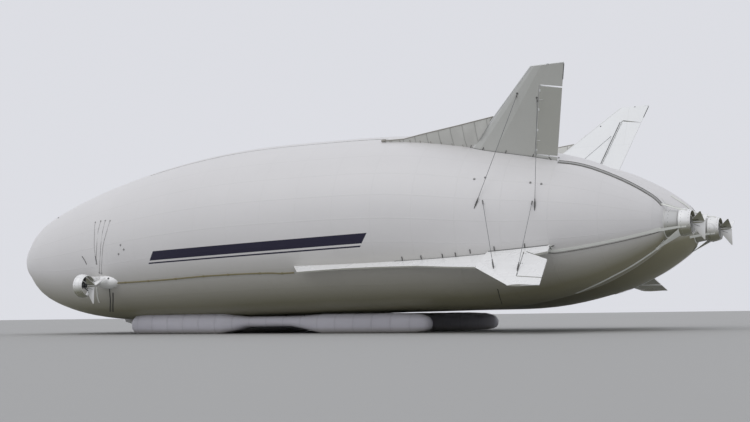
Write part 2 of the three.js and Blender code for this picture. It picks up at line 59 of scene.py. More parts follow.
# Studio: an even pale sky, a broad soft lamp high over the port bow, and a floor of pale matt screed.
# The floor is a plain plane, far wider than the airship.
bpy.context.scene.view_settings.view_transform = "Standard"
sky = bpy.data.worlds.new("even_sky")
sky.use_nodes = True
background = sky.node_tree.nodes["Background"]
background.inputs["Color"].default_value = (0.80, 0.81, 0.86, 1)
background.inputs["Strength"].default_value = 0.90
bpy.context.scene.world = sky
bpy.ops.object.light_add(type="SUN", rotation=(radians(-38), radians(14), 0))
bpy.context.object.data.energy = 0.75
bpy.context.object.data.angle = radians(50)
bpy.ops.mesh.primitive_plane_add(size=600)
floor = bpy.context.object
floor.name = "studio_floor"


def add(material, kind, inputs=None, **settings):
    """A new node in a material, with values or links for its inputs."""
    node = material.node_tree.nodes.new(kind)
    for key, value in settings.items():
        setattr(node, key, value)
    for key, value in (inputs or {}).items():
        if isinstance(value, bpy.types.NodeSocket):
            material.node_tree.links.new(value, node.inputs[key])
        else:
            node.inputs[key].default_value = value
    return node.outputs


def reckoned(material, operation, *values):
    """The result of a sum, worked out at each point of a material."""
    return add(material, "ShaderNodeMath", dict(enumerate(values)), operation=operation)["Value"]


def ramped(material, value, start=0.0, end=1.0, low=0.0, high=1.0):
    """Runs from low to high while a value runs from start to end."""
    ends = {"From Min": start, "From Max": end, "To Min": low, "To Max": high}
    return add(material, "ShaderNodeMapRange", {"Value": value, **ends})["Result"]


def tinted(material, share, under, over):
    """A colour with another laid over it by a share."""
    return add(material, "ShaderNodeMixRGB", {"Fac": share, "Color1": under, "Color2": over})["Color"]


def raised(material, height, depth, base=None, **settings):
    """Relief of a depth in metres, on top of the relief that is there."""
    under = {} if base is None else {"Normal": base}
    return add(material, "ShaderNodeBump", {"Height": height, "Distance": depth, **under}, **settings)["Normal"]


def surfaced(material, shader, tone, relief):
    """Puts a colour and a relief on a finish."""
    material.node_tree.links.new(tone, shader.inputs["Base Color"])
    material.node_tree.links.new(relief, shader.inputs["Normal"])


LACQUER_ROUGH, GLOSS_SWING = 0.12, 0.07
# The dark olive tint of dust and painted shade on what faces down.
DUST_AND_SHADE = (0.20, 0.198, 0.12, 1)


def coated(
    name, colour, rough, mottle=0.05, patches=4.0, grain=300.0, depth=0.0002, metal=0.0, coat=0.0, dust_and_shade_film=0.0
):
    """A finish whose colour and gloss wander a little, with a fine grain and a film of dust and painted shade on what
    faces down.
    Its numbers are the roughness, how far the colour wanders, the patches and the grains to a metre, and the
    depth of the grain."""
    made = bpy.data.materials.new(name)
    made.use_nodes = True
    shader = made.node_tree.nodes["Principled BSDF"]
    for socket, value in (("Metallic", metal), ("Coat Weight", coat), ("Coat Roughness", LACQUER_ROUGH)):
        shader.inputs[socket].default_value = value
    place = add(made, "ShaderNodeTexCoord")["Object"]
    blotches = {"Vector": place, "Scale": patches, "Detail": 6.0, "Roughness": 0.6}
    cloud = add(made, "ShaderNodeTexNoise", blotches)["Fac"]
    darker, paler = [[min(c * k, 1.0) for c in colour] + [1] for k in (1 - mottle, 1 + mottle)]
    tone = tinted(made, cloud, darker, paler)
    # Painted shade with dust: faces that point down are tinted towards a dark olive.
    if dust_and_shade_film:
        facing = add(made, "ShaderNodeSeparateXYZ", {"Vector": add(made, "ShaderNodeTexCoord")["Normal"]})["Z"]
        tone = tinted(made, ramped(made, facing, 0.1, -0.6, high=dust_and_shade_film), tone, DUST_AND_SHADE)
    gloss = ramped(made, cloud, low=rough - GLOSS_SWING, high=rough + GLOSS_SWING)
    fine = add(made, "ShaderNodeTexNoise", {"Vector": place, "Scale": grain, "Detail": 3.0})["Fac"]
    bump = raised(made, fine, depth)
    made.node_tree.links.new(gloss, shader.inputs["Roughness"])
    surfaced(made, shader, tone, bump)
    return made, shader, place, tone, bump


floor.data.materials.append(coated("floor_screed", (0.38, 0.38, 0.37), 0.8, mottle=0.015, patches=0.3)[0])


# Envelope: two gas lobes side by side, of off-white laminated fabric welded in rings and lengthwise gores.
# Each lobe is a hoop drawn out ring by ring; it is cut on the centre plane and mirrored to the other side.
# Hull stations: x, lobe radius, height of the lobe's centre, distance of its centre from the middle.
HULL = [Vector(station) for station in (
    (4.560, -0.120, 0.951, 0.422),
    (4.600, 0.000, 0.954, 0.435),
    (4.560, 0.120, 0.957, 0.448),
    (4.470, 0.218, 0.964, 0.470),
    (4.305, 0.330, 0.972, 0.505),
    (3.930, 0.548, 0.968, 0.578),
    (3.320, 0.735, 0.988, 0.625),
    (2.575, 0.872, 1.049, 0.652),
    (1.710, 0.955, 1.135, 0.668),
    (0.730, 1.000, 1.196, 0.683),
    (-0.350, 0.995, 1.216, 0.697),
    (-1.530, 0.968, 1.207, 0.692),
    (-2.550, 0.870, 1.133, 0.645),
    (-3.340, 0.697, 1.117, 0.603),
    (-3.780, 0.510, 1.109, 0.600),
    (-4.080, 0.318, 1.102, 0.600),
    (-4.190, 0.208, 1.095, 0.600),
    (-4.225, 0.140, 1.090, 0.600),
)]
GORE = radians(15)


def eased(points, place):
    """The point at a place on the smooth curve through a row of points; place 1.5 is halfway from 1 to 2."""
    i = min(int(place), len(points) - 2)
    w = place - i
    start, end = points[i], points[i + 1]
    before = points[i - 1] if i else 2 * start - end
    after = points[i + 2] if i + 2 < len(points) else 2 * end - start
    out, back = (end - before) / 2, (after - start) / 2
    bend, twist = 3 * (end - start) - 2 * out - back, 2 * (start - end) + out + back
    return start + out * w + bend * w**2 + twist * w**3


def hull_section(x):
    """The lobe's radius, centre height and spacing at a distance along the hull."""
    low, high = 1.0, len(HULL) - 1.0
    for _ in range(40):
        middle = (low + high) / 2
        low, high = (middle, high) if eased(HULL, middle)[0] > x else (low, middle)
    return eased(HULL, low)[1:]


def on_hull(x, angle, proud=0.0):
    """A point on the port lobe: the angle in degrees is up from straight outboard."""
    radius, height, spacing = hull_section(x)
    a = radians(angle)
    return Vector((x, spacing + (radius + proud) * cos(a), height + (radius + proud) * sin(a)))


def hoops_drawn(hoops, sides, ring=False):
    """A skin drawn out from a hoop that faces along X. A hoop is x, y, z, half width and half height.
    A ring comes back to its first hoop, so its ends aren't filled."""
    x, y, z, wide, high = hoops[0]
    fill = "NOTHING" if ring else "NGON"
    bpy.ops.mesh.primitive_circle_add(vertices=sides, radius=1, fill_type=fill, rotation=(0, pi / 2, 0))
    bpy.ops.transform.resize(value=(1, wide, high))
    bpy.ops.transform.translate(value=(x, y, z))
    bpy.ops.object.transform_apply()
    bpy.ops.object.mode_set(mode="EDIT")
    bpy.ops.mesh.select_all(action="SELECT")
    for x2, y2, z2, wide2, high2 in hoops[1:]:
        bpy.ops.mesh.extrude_region_move(TRANSFORM_OT_translate={"value": (x2 - x, y2 - y, z2 - z)})
        bpy.ops.transform.resize(value=(1, wide2 / wide, high2 / high), center_override=(x2, y2, z2))
        x, y, z, wide, high = x2, y2, z2, wide2, high2
    bpy.ops.mesh.select_all(action="SELECT")
    bpy.ops.mesh.remove_doubles(threshold=1e-5)
    bpy.ops.mesh.normals_make_consistent(inside=False)
    bpy.ops.object.mode_set(mode="OBJECT")
    return bpy.context.object


def alone(made):
    """Leaves one piece selected and active."""
    bpy.ops.object.select_all(action="DESELECT")
    made.select_set(True)
    bpy.context.view_layer.objects.active = made


def modified(made, kind, **settings):
    """A modifier on a piece, set and applied."""
    alone(made)
    modifier = made.modifiers.new(kind.lower(), kind)
    for key, value in settings.items():
        setattr(modifier, key, value)
    bpy.ops.object.modifier_apply(modifier=modifier.name)
    return made


def outward(made):
    """Turns a closed piece's faces outwards."""
    alone(made)
    bpy.ops.object.mode_set(mode="EDIT")
    bpy.ops.mesh.select_all(action="SELECT")
    bpy.ops.mesh.normals_make_consistent(inside=False)
    bpy.ops.object.mode_set(mode="OBJECT")
    return made


def settled(made, name, material, body="root", stands_for=(), smooth=35):
    """The finished piece with its place in its mesh, its name and finish, riding on its body."""
    alone(made)
    bpy.ops.object.transform_apply()
    made.name = made.data.name = name
    made.data.materials.clear()
    made.data.materials.append(material)
    bpy.ops.object.shade_smooth_by_angle(angle=radians(smooth))
    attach(made, body)
    if stands_for:
        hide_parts(*stands_for)
    bpy.ops.object.select_all(action="DESELECT")


places = [1.02, 1.06, 1.12, 1.2, 1.32, 1.46, 1.64, 1.82] + [2 + 0.2 * i for i in range(76)]
hoops = []
for place in places:
    x, radius, height, spacing = eased(HULL, place)
    hoops.append((x, spacing, height, radius, radius))
envelope = hoops_drawn(hoops, 80)
bpy.ops.object.mode_set(mode="EDIT")
bpy.ops.mesh.select_all(action="SELECT")
bpy.ops.mesh.bisect(plane_co=(0, 0, 0), plane_no=(0, 1, 0), clear_inner=True)
bpy.ops.object.mode_set(mode="OBJECT")
modified(envelope, "MIRROR", use_axis=(False, True, False), merge_threshold=1e-4)
outward(envelope)
gore = envelope.data.attributes.new("gore", "FLOAT", "POINT")
sections = {}
for vertex, value in zip(envelope.data.vertices, gore.data):
    x, y, z = vertex.co
    key = round(x, 4)
    if key not in sections:
        sections[key] = hull_section(x)
    radius, height, spacing = sections[key]
    value.value = atan2(z - height, abs(abs(y) - spacing)) / GORE


def off_middle(material, value, pitch):
    """How far a value lies from the middle of its step, as a share of the pitch: 0 to a half."""
    share = reckoned(material, "FRACT", reckoned(material, "DIVIDE", value, pitch))
    return reckoned(material, "ABSOLUTE", reckoned(material, "SUBTRACT", share, 0.5))


skin, skin_shader, place, tone, bump = coated("laminated_skin", (0.69, 0.68, 0.675), 0.40, 0.035, 1.3, 220.0, 0.00012)
spots = add(skin, "ShaderNodeSeparateXYZ", {"Vector": place})
angle = add(skin, "ShaderNodeAttribute", attribute_name="gore")["Fac"]
outboard = reckoned(skin, "ABSOLUTE", spots["Y"])
seams = []
for value, pitch, half in ((spots["X"], 0.46, 0.008), (angle, 1.0, 0.022)):
    seams.append(ramped(skin, off_middle(skin, value, pitch), 0.5 - 1.5 * half, 0.5 - half))
seam = reckoned(skin, "MAXIMUM", *seams)
# Slightly darker welds, and a tan film of dust and painted shade on the underside; the painted shade reaches further
# up between the lobes.
tone = tinted(skin, reckoned(skin, "MULTIPLY", seam, 0.05), tone, (0.42, 0.42, 0.40, 1))
# Painted shade between the lobes: the dark tint climbs higher on the inner flanks.
inner = ramped(skin, outboard, 0.62, 0.40, high=2.0)
belly_dust_and_shade = ramped(skin, reckoned(skin, "SUBTRACT", angle, inner), -1.0, -4.0, high=0.95)
tone = tinted(skin, belly_dust_and_shade, tone, (0.235, 0.222, 0.135, 1))
# A plain navy band with a pinline under it, along each outer flank. Both slope a little and end in raked cuts.
BAND_HEIGHT, BAND_SLOPE, BAND_HALF = 0.965, 0.03, 0.052
PINLINE_DROP, PINLINE_HALF = 0.082, 0.008
BAND_RAKE, BAND_BOW, BAND_STERN, FLANK = 0.7, 1.58, -1.30, 0.9
level = reckoned(skin, "ADD", spots["Z"], reckoned(skin, "MULTIPLY_ADD", spots["X"], BAND_SLOPE, -BAND_HEIGHT))
band = reckoned(skin, "LESS_THAN", reckoned(skin, "ABSOLUTE", level), BAND_HALF)
off_pinline = reckoned(skin, "ABSOLUTE", reckoned(skin, "ADD", level, PINLINE_DROP))
painted = reckoned(skin, "MAXIMUM", band, reckoned(skin, "LESS_THAN", off_pinline, PINLINE_HALF))
raked = reckoned(skin, "MULTIPLY_ADD", level, BAND_RAKE, spots["X"])
ends = (("LESS_THAN", raked, BAND_BOW), ("GREATER_THAN", raked, BAND_STERN), ("GREATER_THAN", outboard, FLANK))
for test, value, limit in ends:
    painted = reckoned(skin, "MULTIPLY", painted, reckoned(skin, test, value, limit))
tone = tinted(skin, painted, tone, (0.010, 0.008, 0.032, 1))
surfaced(skin, skin_shader, tone, raised(skin, seam, 0.0006, bump))
both_lobes = ("envelope_port", "envelope_starboard")
settled(envelope, "envelope_skin", skin, stands_for=both_lobes, smooth=60)


# Load straps: bands of webbing bonded to the stern, which carry the tail's loads into the end rings.
# The crest strap is grey and the others are white. Each is an edge drawn out along its line beside the hull,
# then pressed onto the skin and given its thickness.
def drawn_edge(path, across, width):
    """A flat ribbon drawn along a path; its width lies along the across direction."""
    way = (path[1] - path[0]).normalized()
    across = (across - way * across.dot(way)).normalized()
    axes = Matrix((way, across, way.cross(across))).transposed()
    centre = path[0] + way * width / 2
    bpy.ops.mesh.primitive_plane_add(size=width, location=centre, rotation=axes.to_euler())
    ribbon = bpy.context.object
    bpy.ops.object.mode_set(mode="EDIT")
    far_end = bmesh.from_edit_mesh(ribbon.data)
    for corner in far_end.verts:
        corner.select_set(corner.co.x > 0)
    far_end.select_flush(False)
    bpy.ops.mesh.delete(type="VERT")
    bpy.ops.mesh.select_all(action="SELECT")
    for here, there in zip(path, path[1:]):
        bpy.ops.mesh.extrude_region_move(TRANSFORM_OT_translate={"value": there - here})
    bpy.ops.object.mode_set(mode="OBJECT")
    bpy.ops.object.transform_apply()
    return ribbon


def curved(points, count):
    """Points along a smooth line through the given ones."""
    points = [Vector(p) for p in points]
    return [eased(points, step * (len(points) - 1) / count) for step in range(count + 1)]


def along_hull(line, count, proud, beside=0.0):
    """Points along a smooth line on the port lobe, given as x and angle.
    A line beside it is off by so many degrees where the lobe's radius is 0.6."""
    points = []
    for x, a, _ in curved([(x, a, 0) for x, a in line], count):
        points.append(on_hull(x, a + beside * 0.6 / hull_section(x)[0], proud))
    return points


def pressed(ribbon, proud, thickness):
    """Lays a ribbon on the envelope and gives it its thickness."""
    modified(ribbon, "SHRINKWRAP", target=envelope, wrap_mode="OUTSIDE_SURFACE", offset=proud)
    outward(ribbon)
    modified(ribbon, "SOLIDIFY", thickness=thickness, offset=0)
    return outward(ribbon)


def mirrored(made):
    """A piece's own copy on the other side of the centre plane."""
    other = made.copy()
    other.data = made.data.copy()
    bpy.context.collection.objects.link(other)
    alone(other)
    bpy.ops.transform.resize(value=(1, -1, 1), center_override=(0, 0, 0))
    bpy.ops.object.transform_apply()
    return outward(other)


def joined(parts):
    """Several parts as one piece."""
    bpy.ops.object.select_all(action="DESELECT")
    for part in parts:
        part.select_set(True)
    bpy.context.view_layer.objects.active = parts[0]
    bpy.ops.object.join()
    return parts[0]


def both_sides(parts):
    """The port side's parts and their mirrored copies as one piece."""
    port = joined(parts)
    return joined([port, mirrored(port)])


crest_line = [(-3.225, 58.5), (-3.415, 61.5), (-3.66, 62.5), (-3.90, 62.5), (-4.05, 62.5), (-4.20, 62)]
side_line = [(-3.20, -24), (-3.28, -25), (-3.50, -24.6), (-3.81, -24), (-4.04, -23.5), (-4.205, -23)]
foot_line = [(-3.26, -87), (-3.43, -81), (-3.60, -78), (-3.80, -77), (-4.00, -76), (-4.12, -76), (-4.20, -76)]
inboard_line = [(-3.99, 112), (-4.10, 113), (-4.20, 112)]
# Each strap's line, the direction of its width, its width, and how far out it starts before it is pressed.
STRAP_LINES = [
    (crest_line, (0, 1, 0), 0.034, 0.02),
    (side_line, (0, 0, 1), 0.030, 0.01),
    (foot_line, (0, 1, 0), 0.036, 0.01),
    (inboard_line, (0, 1, 0), 0.030, 0.01),
]
straps = []
for line, across, width, outset in STRAP_LINES:
    straps.append(pressed(drawn_edge(along_hull(line, 40, outset), Vector(across), width), 0.0035, 0.004))
# Wider doublers at the straps' ends: x, angle, length, width.
for x, angle, length, width in ((-4.17, -23, 0.07, 0.035), (-4.17, -76, 0.08, 0.06), (-3.22, -22, 0.06, 0.045)):
    start, end = on_hull(x + length / 2, angle, 0.02), on_hull(x - length / 2, angle, 0.02)
    around = on_hull(x, angle + 4) - on_hull(x, angle)
    straps.append(pressed(drawn_edge(curved([start, end], 4), around, width), 0.005, 0.004))
webbing, webbing_shader, place, tone, bump = coated("white_webbing", (0.76, 0.77, 0.72), 0.6, 0.05, 9.0, 500.0, 0.0002)
wave = {"Vector": place, "Scale": 60.0, "Distortion": 0.5}
ribs = add(webbing, "ShaderNodeTexWave", wave, bands_direction="X")["Fac"]
surfaced(webbing, webbing_shader, tone, raised(webbing, ribs, 0.0006, bump))
grey_webbing, *_ = coated("grey_webbing", (0.37, 0.37, 0.36), 0.65, 0.08, 12.0, 500.0, 0.0003)
settled(both_sides([straps.pop(0)]), "crest_straps", grey_webbing)
settled(both_sides(straps), "load_straps", webbing)


# Edge tapes: dark tape stitched to the skin, under the side strap and on both sides of the crest strap. A thin
# line of it runs from the bow to the strakes, and five short ties lie further aft.
# Each is a point drawn out along the hull and given its round thickness.
def chain(path):
    """A point drawn out along a path, as a chain of edges."""
    path = [Vector(p) for p in path]
    bpy.ops.mesh.primitive_plane_add(size=0.001, location=path[0])
    bpy.ops.object.mode_set(mode="EDIT")
    bpy.ops.mesh.merge(type="CENTER")
    for here, there in zip(path, path[1:]):
        bpy.ops.mesh.extrude_region_move(TRANSFORM_OT_translate={"value": there - here})
    bpy.ops.object.mode_set(mode="OBJECT")
    bpy.ops.object.transform_apply()
    return bpy.context.object


def drawn_line(path, radius):
    """A round line through points, with closed ends."""
    chain(path)
    bpy.ops.object.convert(target="CURVE")
    line = bpy.context.object
    line.data.bevel_depth = radius
    line.data.bevel_resolution = 1
    line.data.use_fill_caps = True
    bpy.ops.object.convert(target="MESH")
    return outward(line)


edge_lines = []
for line, beside in ((side_line, -2.6), (crest_line, -2.6), (crest_line, 2.6)):
    edge_lines.append(drawn_line(along_hull(line, 40, 0.003, beside), 0.0035))
nose_to_strake = [(2.03, 63.5), (1.04, 66), (-0.12, 68.5), (-1.04, 69), (-1.28, 69)]
edge_lines.append(drawn_line(along_hull(nose_to_strake, 90, 0), 0.0015))
for x in (-1.98, -2.06, -2.14, -2.22, -2.30):
    edge_lines.append(drawn_line([on_hull(x, 67, 0.001), on_hull(x - 0.045, 67, 0.001)], 0.003))
tape, *_ = coated("edge_tape", (0.16, 0.155, 0.14), 0.65, 0.1, 12.0)
settled(both_sides(edge_lines), "edge_tapes", tape)


# Rigging patches: round doublers of dark fabric welded to the skin, each with a small eye in its middle.
# A disc is inset to a raised rim, and laid on the hull where a line is tied on.
def patch(point, normal, radius, thick=0.003):
    """A disc with a raised middle, which faces along a normal."""
    normal = Vector(normal)
    turned = normal.to_track_quat("Z", "Y").to_euler()
    bpy.ops.mesh.primitive_circle_add(vertices=18, radius=radius, fill_type="NGON", location=point, rotation=turned)
    bpy.ops.object.mode_set(mode="EDIT")
    bpy.ops.mesh.extrude_region_move(TRANSFORM_OT_translate={"value": normal.normalized() * thick})
    bpy.ops.mesh.inset(thickness=radius * 0.35, depth=thick * 0.5)
    bpy.ops.mesh.inset(thickness=radius * 0.15, depth=thick * 1.5)
    bpy.ops.object.mode_set(mode="OBJECT")
    bpy.ops.object.transform_apply()
    return outward(bpy.context.object)


def hull_patch(x, angle, radius):
    """A patch laid on the port lobe."""
    point = on_hull(x, angle, -0.001)
    return patch(point, point - on_hull(x, angle, -0.5), radius)


# Their radius, and the x and angle of each.
PATCHES = [
    (0.010, [(2.561, 21.3), (2.460, 20.9), (2.374, 20.1), (2.282, 18.7)]),
    (0.013, [(2.057, -2.3), (2.007, -6.0), (2.097, -8.6), (3.60, 53)]),
    (0.013, [(-2.47, 29.5), (-2.577, 31.5), (-3.031, 30.2), (-3.138, 29.8), (-4.185, 62)]),
    (0.012, [(2.495, -12.8), (2.475, -20.4), (2.442, -21.2), (-3.20, 66), (-3.10, 66)]),
]
patches = [hull_patch(x, a, radius) for radius, line in PATCHES for x, a in line]
eyelet, *_ = coated("patch_fabric", (0.30, 0.30, 0.29), 0.55, 0.08, 20.0)
settled(both_sides(patches), "rigging_patches", eyelet)


# Engine rigging: a fan of lines holds each front pylon up, and straps hang from it under the hull.
# Lines are taut wire rope; the straps are dark webbing, and one of them white, pressed onto the skin.
FAN = [
    [(2.561, 21.3), (2.559, 19.3), (2.534, 11.9), (2.521, 5.6), (2.515, -0.6), (2.500, -6.7), (2.495, -12.8)],
    [(2.460, 20.9), (2.470, 13.6), (2.470, 2.0), (2.479, -4.5), (2.495, -12.8)],
    [(2.374, 20.1), (2.384, 11.4), (2.398, 0.7), (2.408, -5.1), (2.438, -13.2), (2.475, -20.4)],
    [(2.282, 18.7), (2.311, 9.9), (2.334, 4.8), (2.357, 0.3), (2.374, -5.4), (2.403, -13.5), (2.442, -21.2)],
]
fan_grey, *_ = coated("fan_wire", (0.22, 0.22, 0.21), 0.5, 0.1, 30.0, 700.0, 0.0002)
fans = [drawn_line([on_hull(x, a, 0.002) for x, a in line], 0.0017) for line in FAN]
settled(both_sides(fans), "pylon_fans", fan_grey)
lines = []
for radius, line in ((0.0036, FAN[0][-2:]), (0.004, [(-2.60, -52.3), (-2.57, -62), (-2.53, -72.9)])):
    lines.append(drawn_line([on_hull(x, a, 0.003) for x, a in line], radius))
pale_straps = []
# Each hanging strap's piece, its width and its line.
HANGING = [
    (lines, 0.014, [(2.386, -33.5), (2.437, -39.9), (2.514, -48.1), (2.688, -62.4)]),
    (lines, 0.014, [(2.371, -38.7), (2.449, -46.4), (2.636, -62.3)]),
    (lines, 0.009, [(2.750, -5.1), (2.711, -8.2), (2.678, -12.2)]),
    (pale_straps, 0.018, [(2.611, -32.6), (2.650, -37.8), (2.682, -41.8), (2.723, -48.9)]),
]
for group, width, line in HANGING:
    ribbon = drawn_edge(along_hull(line, 10, 0.01), Vector((1, 0, 0)), width)
    group.append(pressed(ribbon, 0.002, 0.003))
settled(both_sides(pale_straps), "pylon_straps", webbing)
rope, *_ = coated("dark_rope", (0.075, 0.075, 0.07), 0.6, 0.15, 30.0, 700.0, 0.0004)
settled(both_sides(lines), "engine_rigging", rope)


# Conduits: the engines' fuel and wiring run aft along the flanks in an olive sleeve of coated cloth.
# Each is a round line drawn along the hull, with short wider clips that hold it to the skin.
sleeve_line = [(2.234, -30.5), (1.858, -31.5), (1.386, -32), (0.933, -31.8), (0.366, -32), (-0.039, -32.6)]
sleeve_line += [(-0.16, -33.2), (-0.35, -33.2)]
path = along_hull(sleeve_line, 70, 0.003)
sleeves = [drawn_line(path, 0.009)]
half_clip = Vector((0.012, 0, 0))
for x in (2.1, 1.7, 1.3, 0.9, 0.5, 0.1, -0.2):
    near = min(path, key=lambda p: abs(p.x - x))
    sleeves.append(drawn_line([near + half_clip, near - half_clip], 0.0125))
sleeve, *_ = coated("olive_sleeve", (0.20, 0.175, 0.085), 0.6, 0.12, 14.0, 400.0, 0.0004)
settled(both_sides(sleeves), "flank_conduits", sleeve)


# Upper fins and rudders: rigid panelled wings that lean outwards, painted light grey; the rudder turns on a
# raked hinge. The solid wings come from the frame; edge caps, root seals, hinge knuckles and a beacon go on them.
LEAN = radians(28.95)
# A wing's root and tip are a distance up its plane, the x of its leading and trailing edges, and half its
# thickness; its foot is the span of distances in which it meets the hull.
FIN = {
    "root": (1.800, -1.857, -3.151, 0.042),
    "tip": (3.042, -3.140, -3.487, 0.013),
    "foot": (1.85, 2.7),
    "origin": Vector((0, 0, 0)),
    "up": Vector((0, sin(LEAN), cos(LEAN))),
    "face": Vector((0, -cos(LEAN), sin(LEAN))),
}
# The wing's thickness at shares of its chord.
WING_SECTION = [(0, 0), (0.03, 0.34), (0.12, 0.74), (0.32, 1), (0.65, 0.62), (1, 0.1)]


def on_wing(wing, x, s, face=0, proud=0.0):
    """A point of the port wing: x and the distance s up its plane; face is 1 or -1 for a side, 0 for the middle."""
    (s0, lead0, trail0, half0), (s1, lead1, trail1, half1) = wing["root"], wing["tip"]
    share = (s - s0) / (s1 - s0)
    lead, trail, half = (a + (b - a) * share for a, b in ((lead0, lead1), (trail0, trail1), (half0, half1)))
    chord = min(max((lead - x) / (lead - trail), 0), 1)
    thick = 0.0
    for (f0, t0), (f1, t1) in zip(WING_SECTION, WING_SECTION[1:]):
        if f0 <= chord <= f1:
            thick = t0 + (t1 - t0) * (chord - f0) / (f1 - f0)
    point = wing["origin"] + wing["up"] * s + wing["face"] * face * (thick * half + proud)
    return Vector((x, point.y, point.z))


def wing_foot(wing, x, face, proud=0.0):
    """Where a wing's face meets the port lobe, as a point."""
    radius, height, spacing = hull_section(x)
    low, high = wing["foot"]
    for _ in range(24):
        middle = (low + high) / 2
        point = on_wing(wing, x, middle, face, proud)
        inside = hypot(point.y - spacing, point.z - height) < radius
        low, high = (middle, high) if inside else (low, middle)
    return on_wing(wing, x, low, face, proud)


def dressed(material, *names):
    """Gives solids of the frame their finish."""
    for name in names:
        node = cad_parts[name]
        node.data.materials.clear()
        node.data.materials.append(material)


def panelled(name, colour, rough, turned, panel, depth=0.0006, coat=0.0, mottle=0.04, faint=0.3, dust_and_shade_film=0.0):
    """A painted finish with butt joints between its panels, laid out in a plane turned about X."""
    made, shader, place, tone, bump = coated(name, colour, rough, mottle, 3.0, 260.0, 0.0001, 0.0, coat, dust_and_shade_film)
    both = add(made, "ShaderNodeVectorMath", {0: place}, operation="ABSOLUTE")["Vector"]
    flat = add(made, "ShaderNodeMapping", {"Vector": both, "Rotation": (turned, 0, 0)})["Vector"]
    layout = {"Vector": flat, "Scale": 1.0, "Mortar Size": 0.0035, "Mortar Smooth": 0.3}
    layout["Brick Width"], layout["Row Height"] = panel
    joint = add(made, "ShaderNodeTexBrick", layout)["Fac"]
    darker = [c * 0.55 for c in colour] + [1]
    lined = tinted(made, reckoned(made, "MULTIPLY", joint, faint), tone, darker)
    surfaced(made, shader, lined, raised(made, joint, depth, bump, invert=True))
    return made


# Each paint's share of dust and painted shade on its down-facing side.
for part, dust_and_shade in (("fin_upper_", 0.49), ("rudder_", 0.64)):
    paint = (part + "paint", (0.79, 0.80, 0.795), 0.42, LEAN - pi / 2, (1.3, 0.62))
    dressed(panelled(*paint, depth=0.0003, faint=0.12, dust_and_shade_film=dust_and_shade), part + "port", part + "starboard")

lead = [on_wing(FIN, x, s) for x, s in ((-2.334, 2.262), (-2.580, 2.50), (-2.890, 2.80), (-3.134, 3.036))]
caps = [drawn_line(curved(lead, 12), 0.0075)]
caps.append(drawn_line([on_wing(FIN, x, s) for x, s in ((-3.138, 3.040), (-3.30, 3.041), (-3.484, 3.041))], 0.006))
cap_paint = panelled("edge_cap_paint", (0.74, 0.75, 0.74), 0.35, 0.0, (0.5, 0.5), coat=0.3)
settled(both_sides(caps), "fin_edge_caps", cap_paint)

seals = []
for face in (1, -1):
    seals.append(drawn_line([wing_foot(FIN, -2.30 - 0.0355 * i, face, 0.002) for i in range(24)], 0.0032))
for x, slant in ((-2.292, 0.012), (-2.432, 0.012), (-2.679, 0.012), (-2.963, 0.012), (-3.140, -0.012)):
    foot, aslant = wing_foot(FIN, x, -1, 0.003), Vector((slant, 0, 0))
    seals.append(drawn_line([foot + aslant - FIN["up"] * 0.012, foot - aslant + FIN["up"] * 0.030], 0.0045))
seals.append(drawn_line([on_wing(FIN, -3.484, 3.028), on_wing(FIN, -3.440, 2.868)], 0.0045))
seals.append(drawn_line([on_wing(FIN, -2.985, 2.150, 1, 0.001), on_wing(FIN, -3.165, 2.815, 1, 0.001)], 0.0050))
seal, *_ = coated("root_seal", (0.115, 0.115, 0.11), 0.6, 0.1, 15.0)
settled(both_sides(seals), "fin_root_seals", seal)


# Rudder knuckles: light grey hinge sleeves and two short control horns on each rudder's leading edge.
# They are round lines drawn along the hinge, and all of them turn with the rudder.
def along(a, b, share):
    """A point at a share of the way from one to another."""
    return a + (b - a) * share


low, high = on_wing(FIN, -3.003, 2.104), on_wing(FIN, -3.198, 2.826)
knuckles = []
for t in (0.06, 0.36, 0.66, 0.94):
    knuckles.append(drawn_line([along(low, high, t - 0.018), along(low, high, t + 0.018)], 0.0195 - 0.003 * t))
for t in (0.2, 0.8):
    horn = along(low, high, t) - FIN["face"] * 0.014
    knuckles.append(drawn_line([horn, horn + Vector((-0.035, 0, 0)) - FIN["face"] * 0.004], 0.003))
whole = joined(knuckles)
for side, made in (("port", whole), ("starboard", mirrored(whole))):
    settled(made, "rudder_knuckles_" + side, cap_paint, body="rudder_" + side)


# Tip beacons: a grey strobe dome on a low foot, fixed to each fin's tip.
# It is turned from rings of its radius and height, and laid over on the tip.
def turned_rings(rings, sides, ring=False, centre=(0, 0)):
    """A round part about an axis along X, from rings of radius and x."""
    y, z = centre
    return hoops_drawn([(x, y, z, radius, radius) for radius, x in rings], sides, ring)


BEACON = [(0.016, -0.004), (0.016, 0.003), (0.012, 0.004), (0.011, 0.0065), (0.007, 0.0085), (0.001, 0.0092)]
beacon = turned_rings(BEACON, 20)
beacon.matrix_world = Matrix.Translation(on_wing(FIN, -3.317, 3.038)) @ Matrix.Rotation(-pi / 2, 4, "Y")
alone(beacon)
bpy.ops.object.transform_apply()
dome, *_ = coated("beacon_dome", (0.42, 0.42, 0.42), 0.15, 0.05, 30.0, coat=0.8)
settled(both_sides([beacon]), "tip_beacons", dome)


# Dorsal strakes: a sheet of pale cloth laced between a top tube, the hull and the fin's leading edge.
# Two drawn edges are bridged into a grid, hung with shallow folds, and given the cloth's thickness.
def bridged(edges, cuts):
    """A surface between two drawn chains of points."""
    surface = joined([chain(path) for path in edges])
    bpy.ops.object.mode_set(mode="EDIT")
    bpy.ops.mesh.select_all(action="SELECT")
    bpy.ops.mesh.bridge_edge_loops(number_cuts=cuts, interpolation="LINEAR")
    bpy.ops.object.mode_set(mode="OBJECT")
    return surface


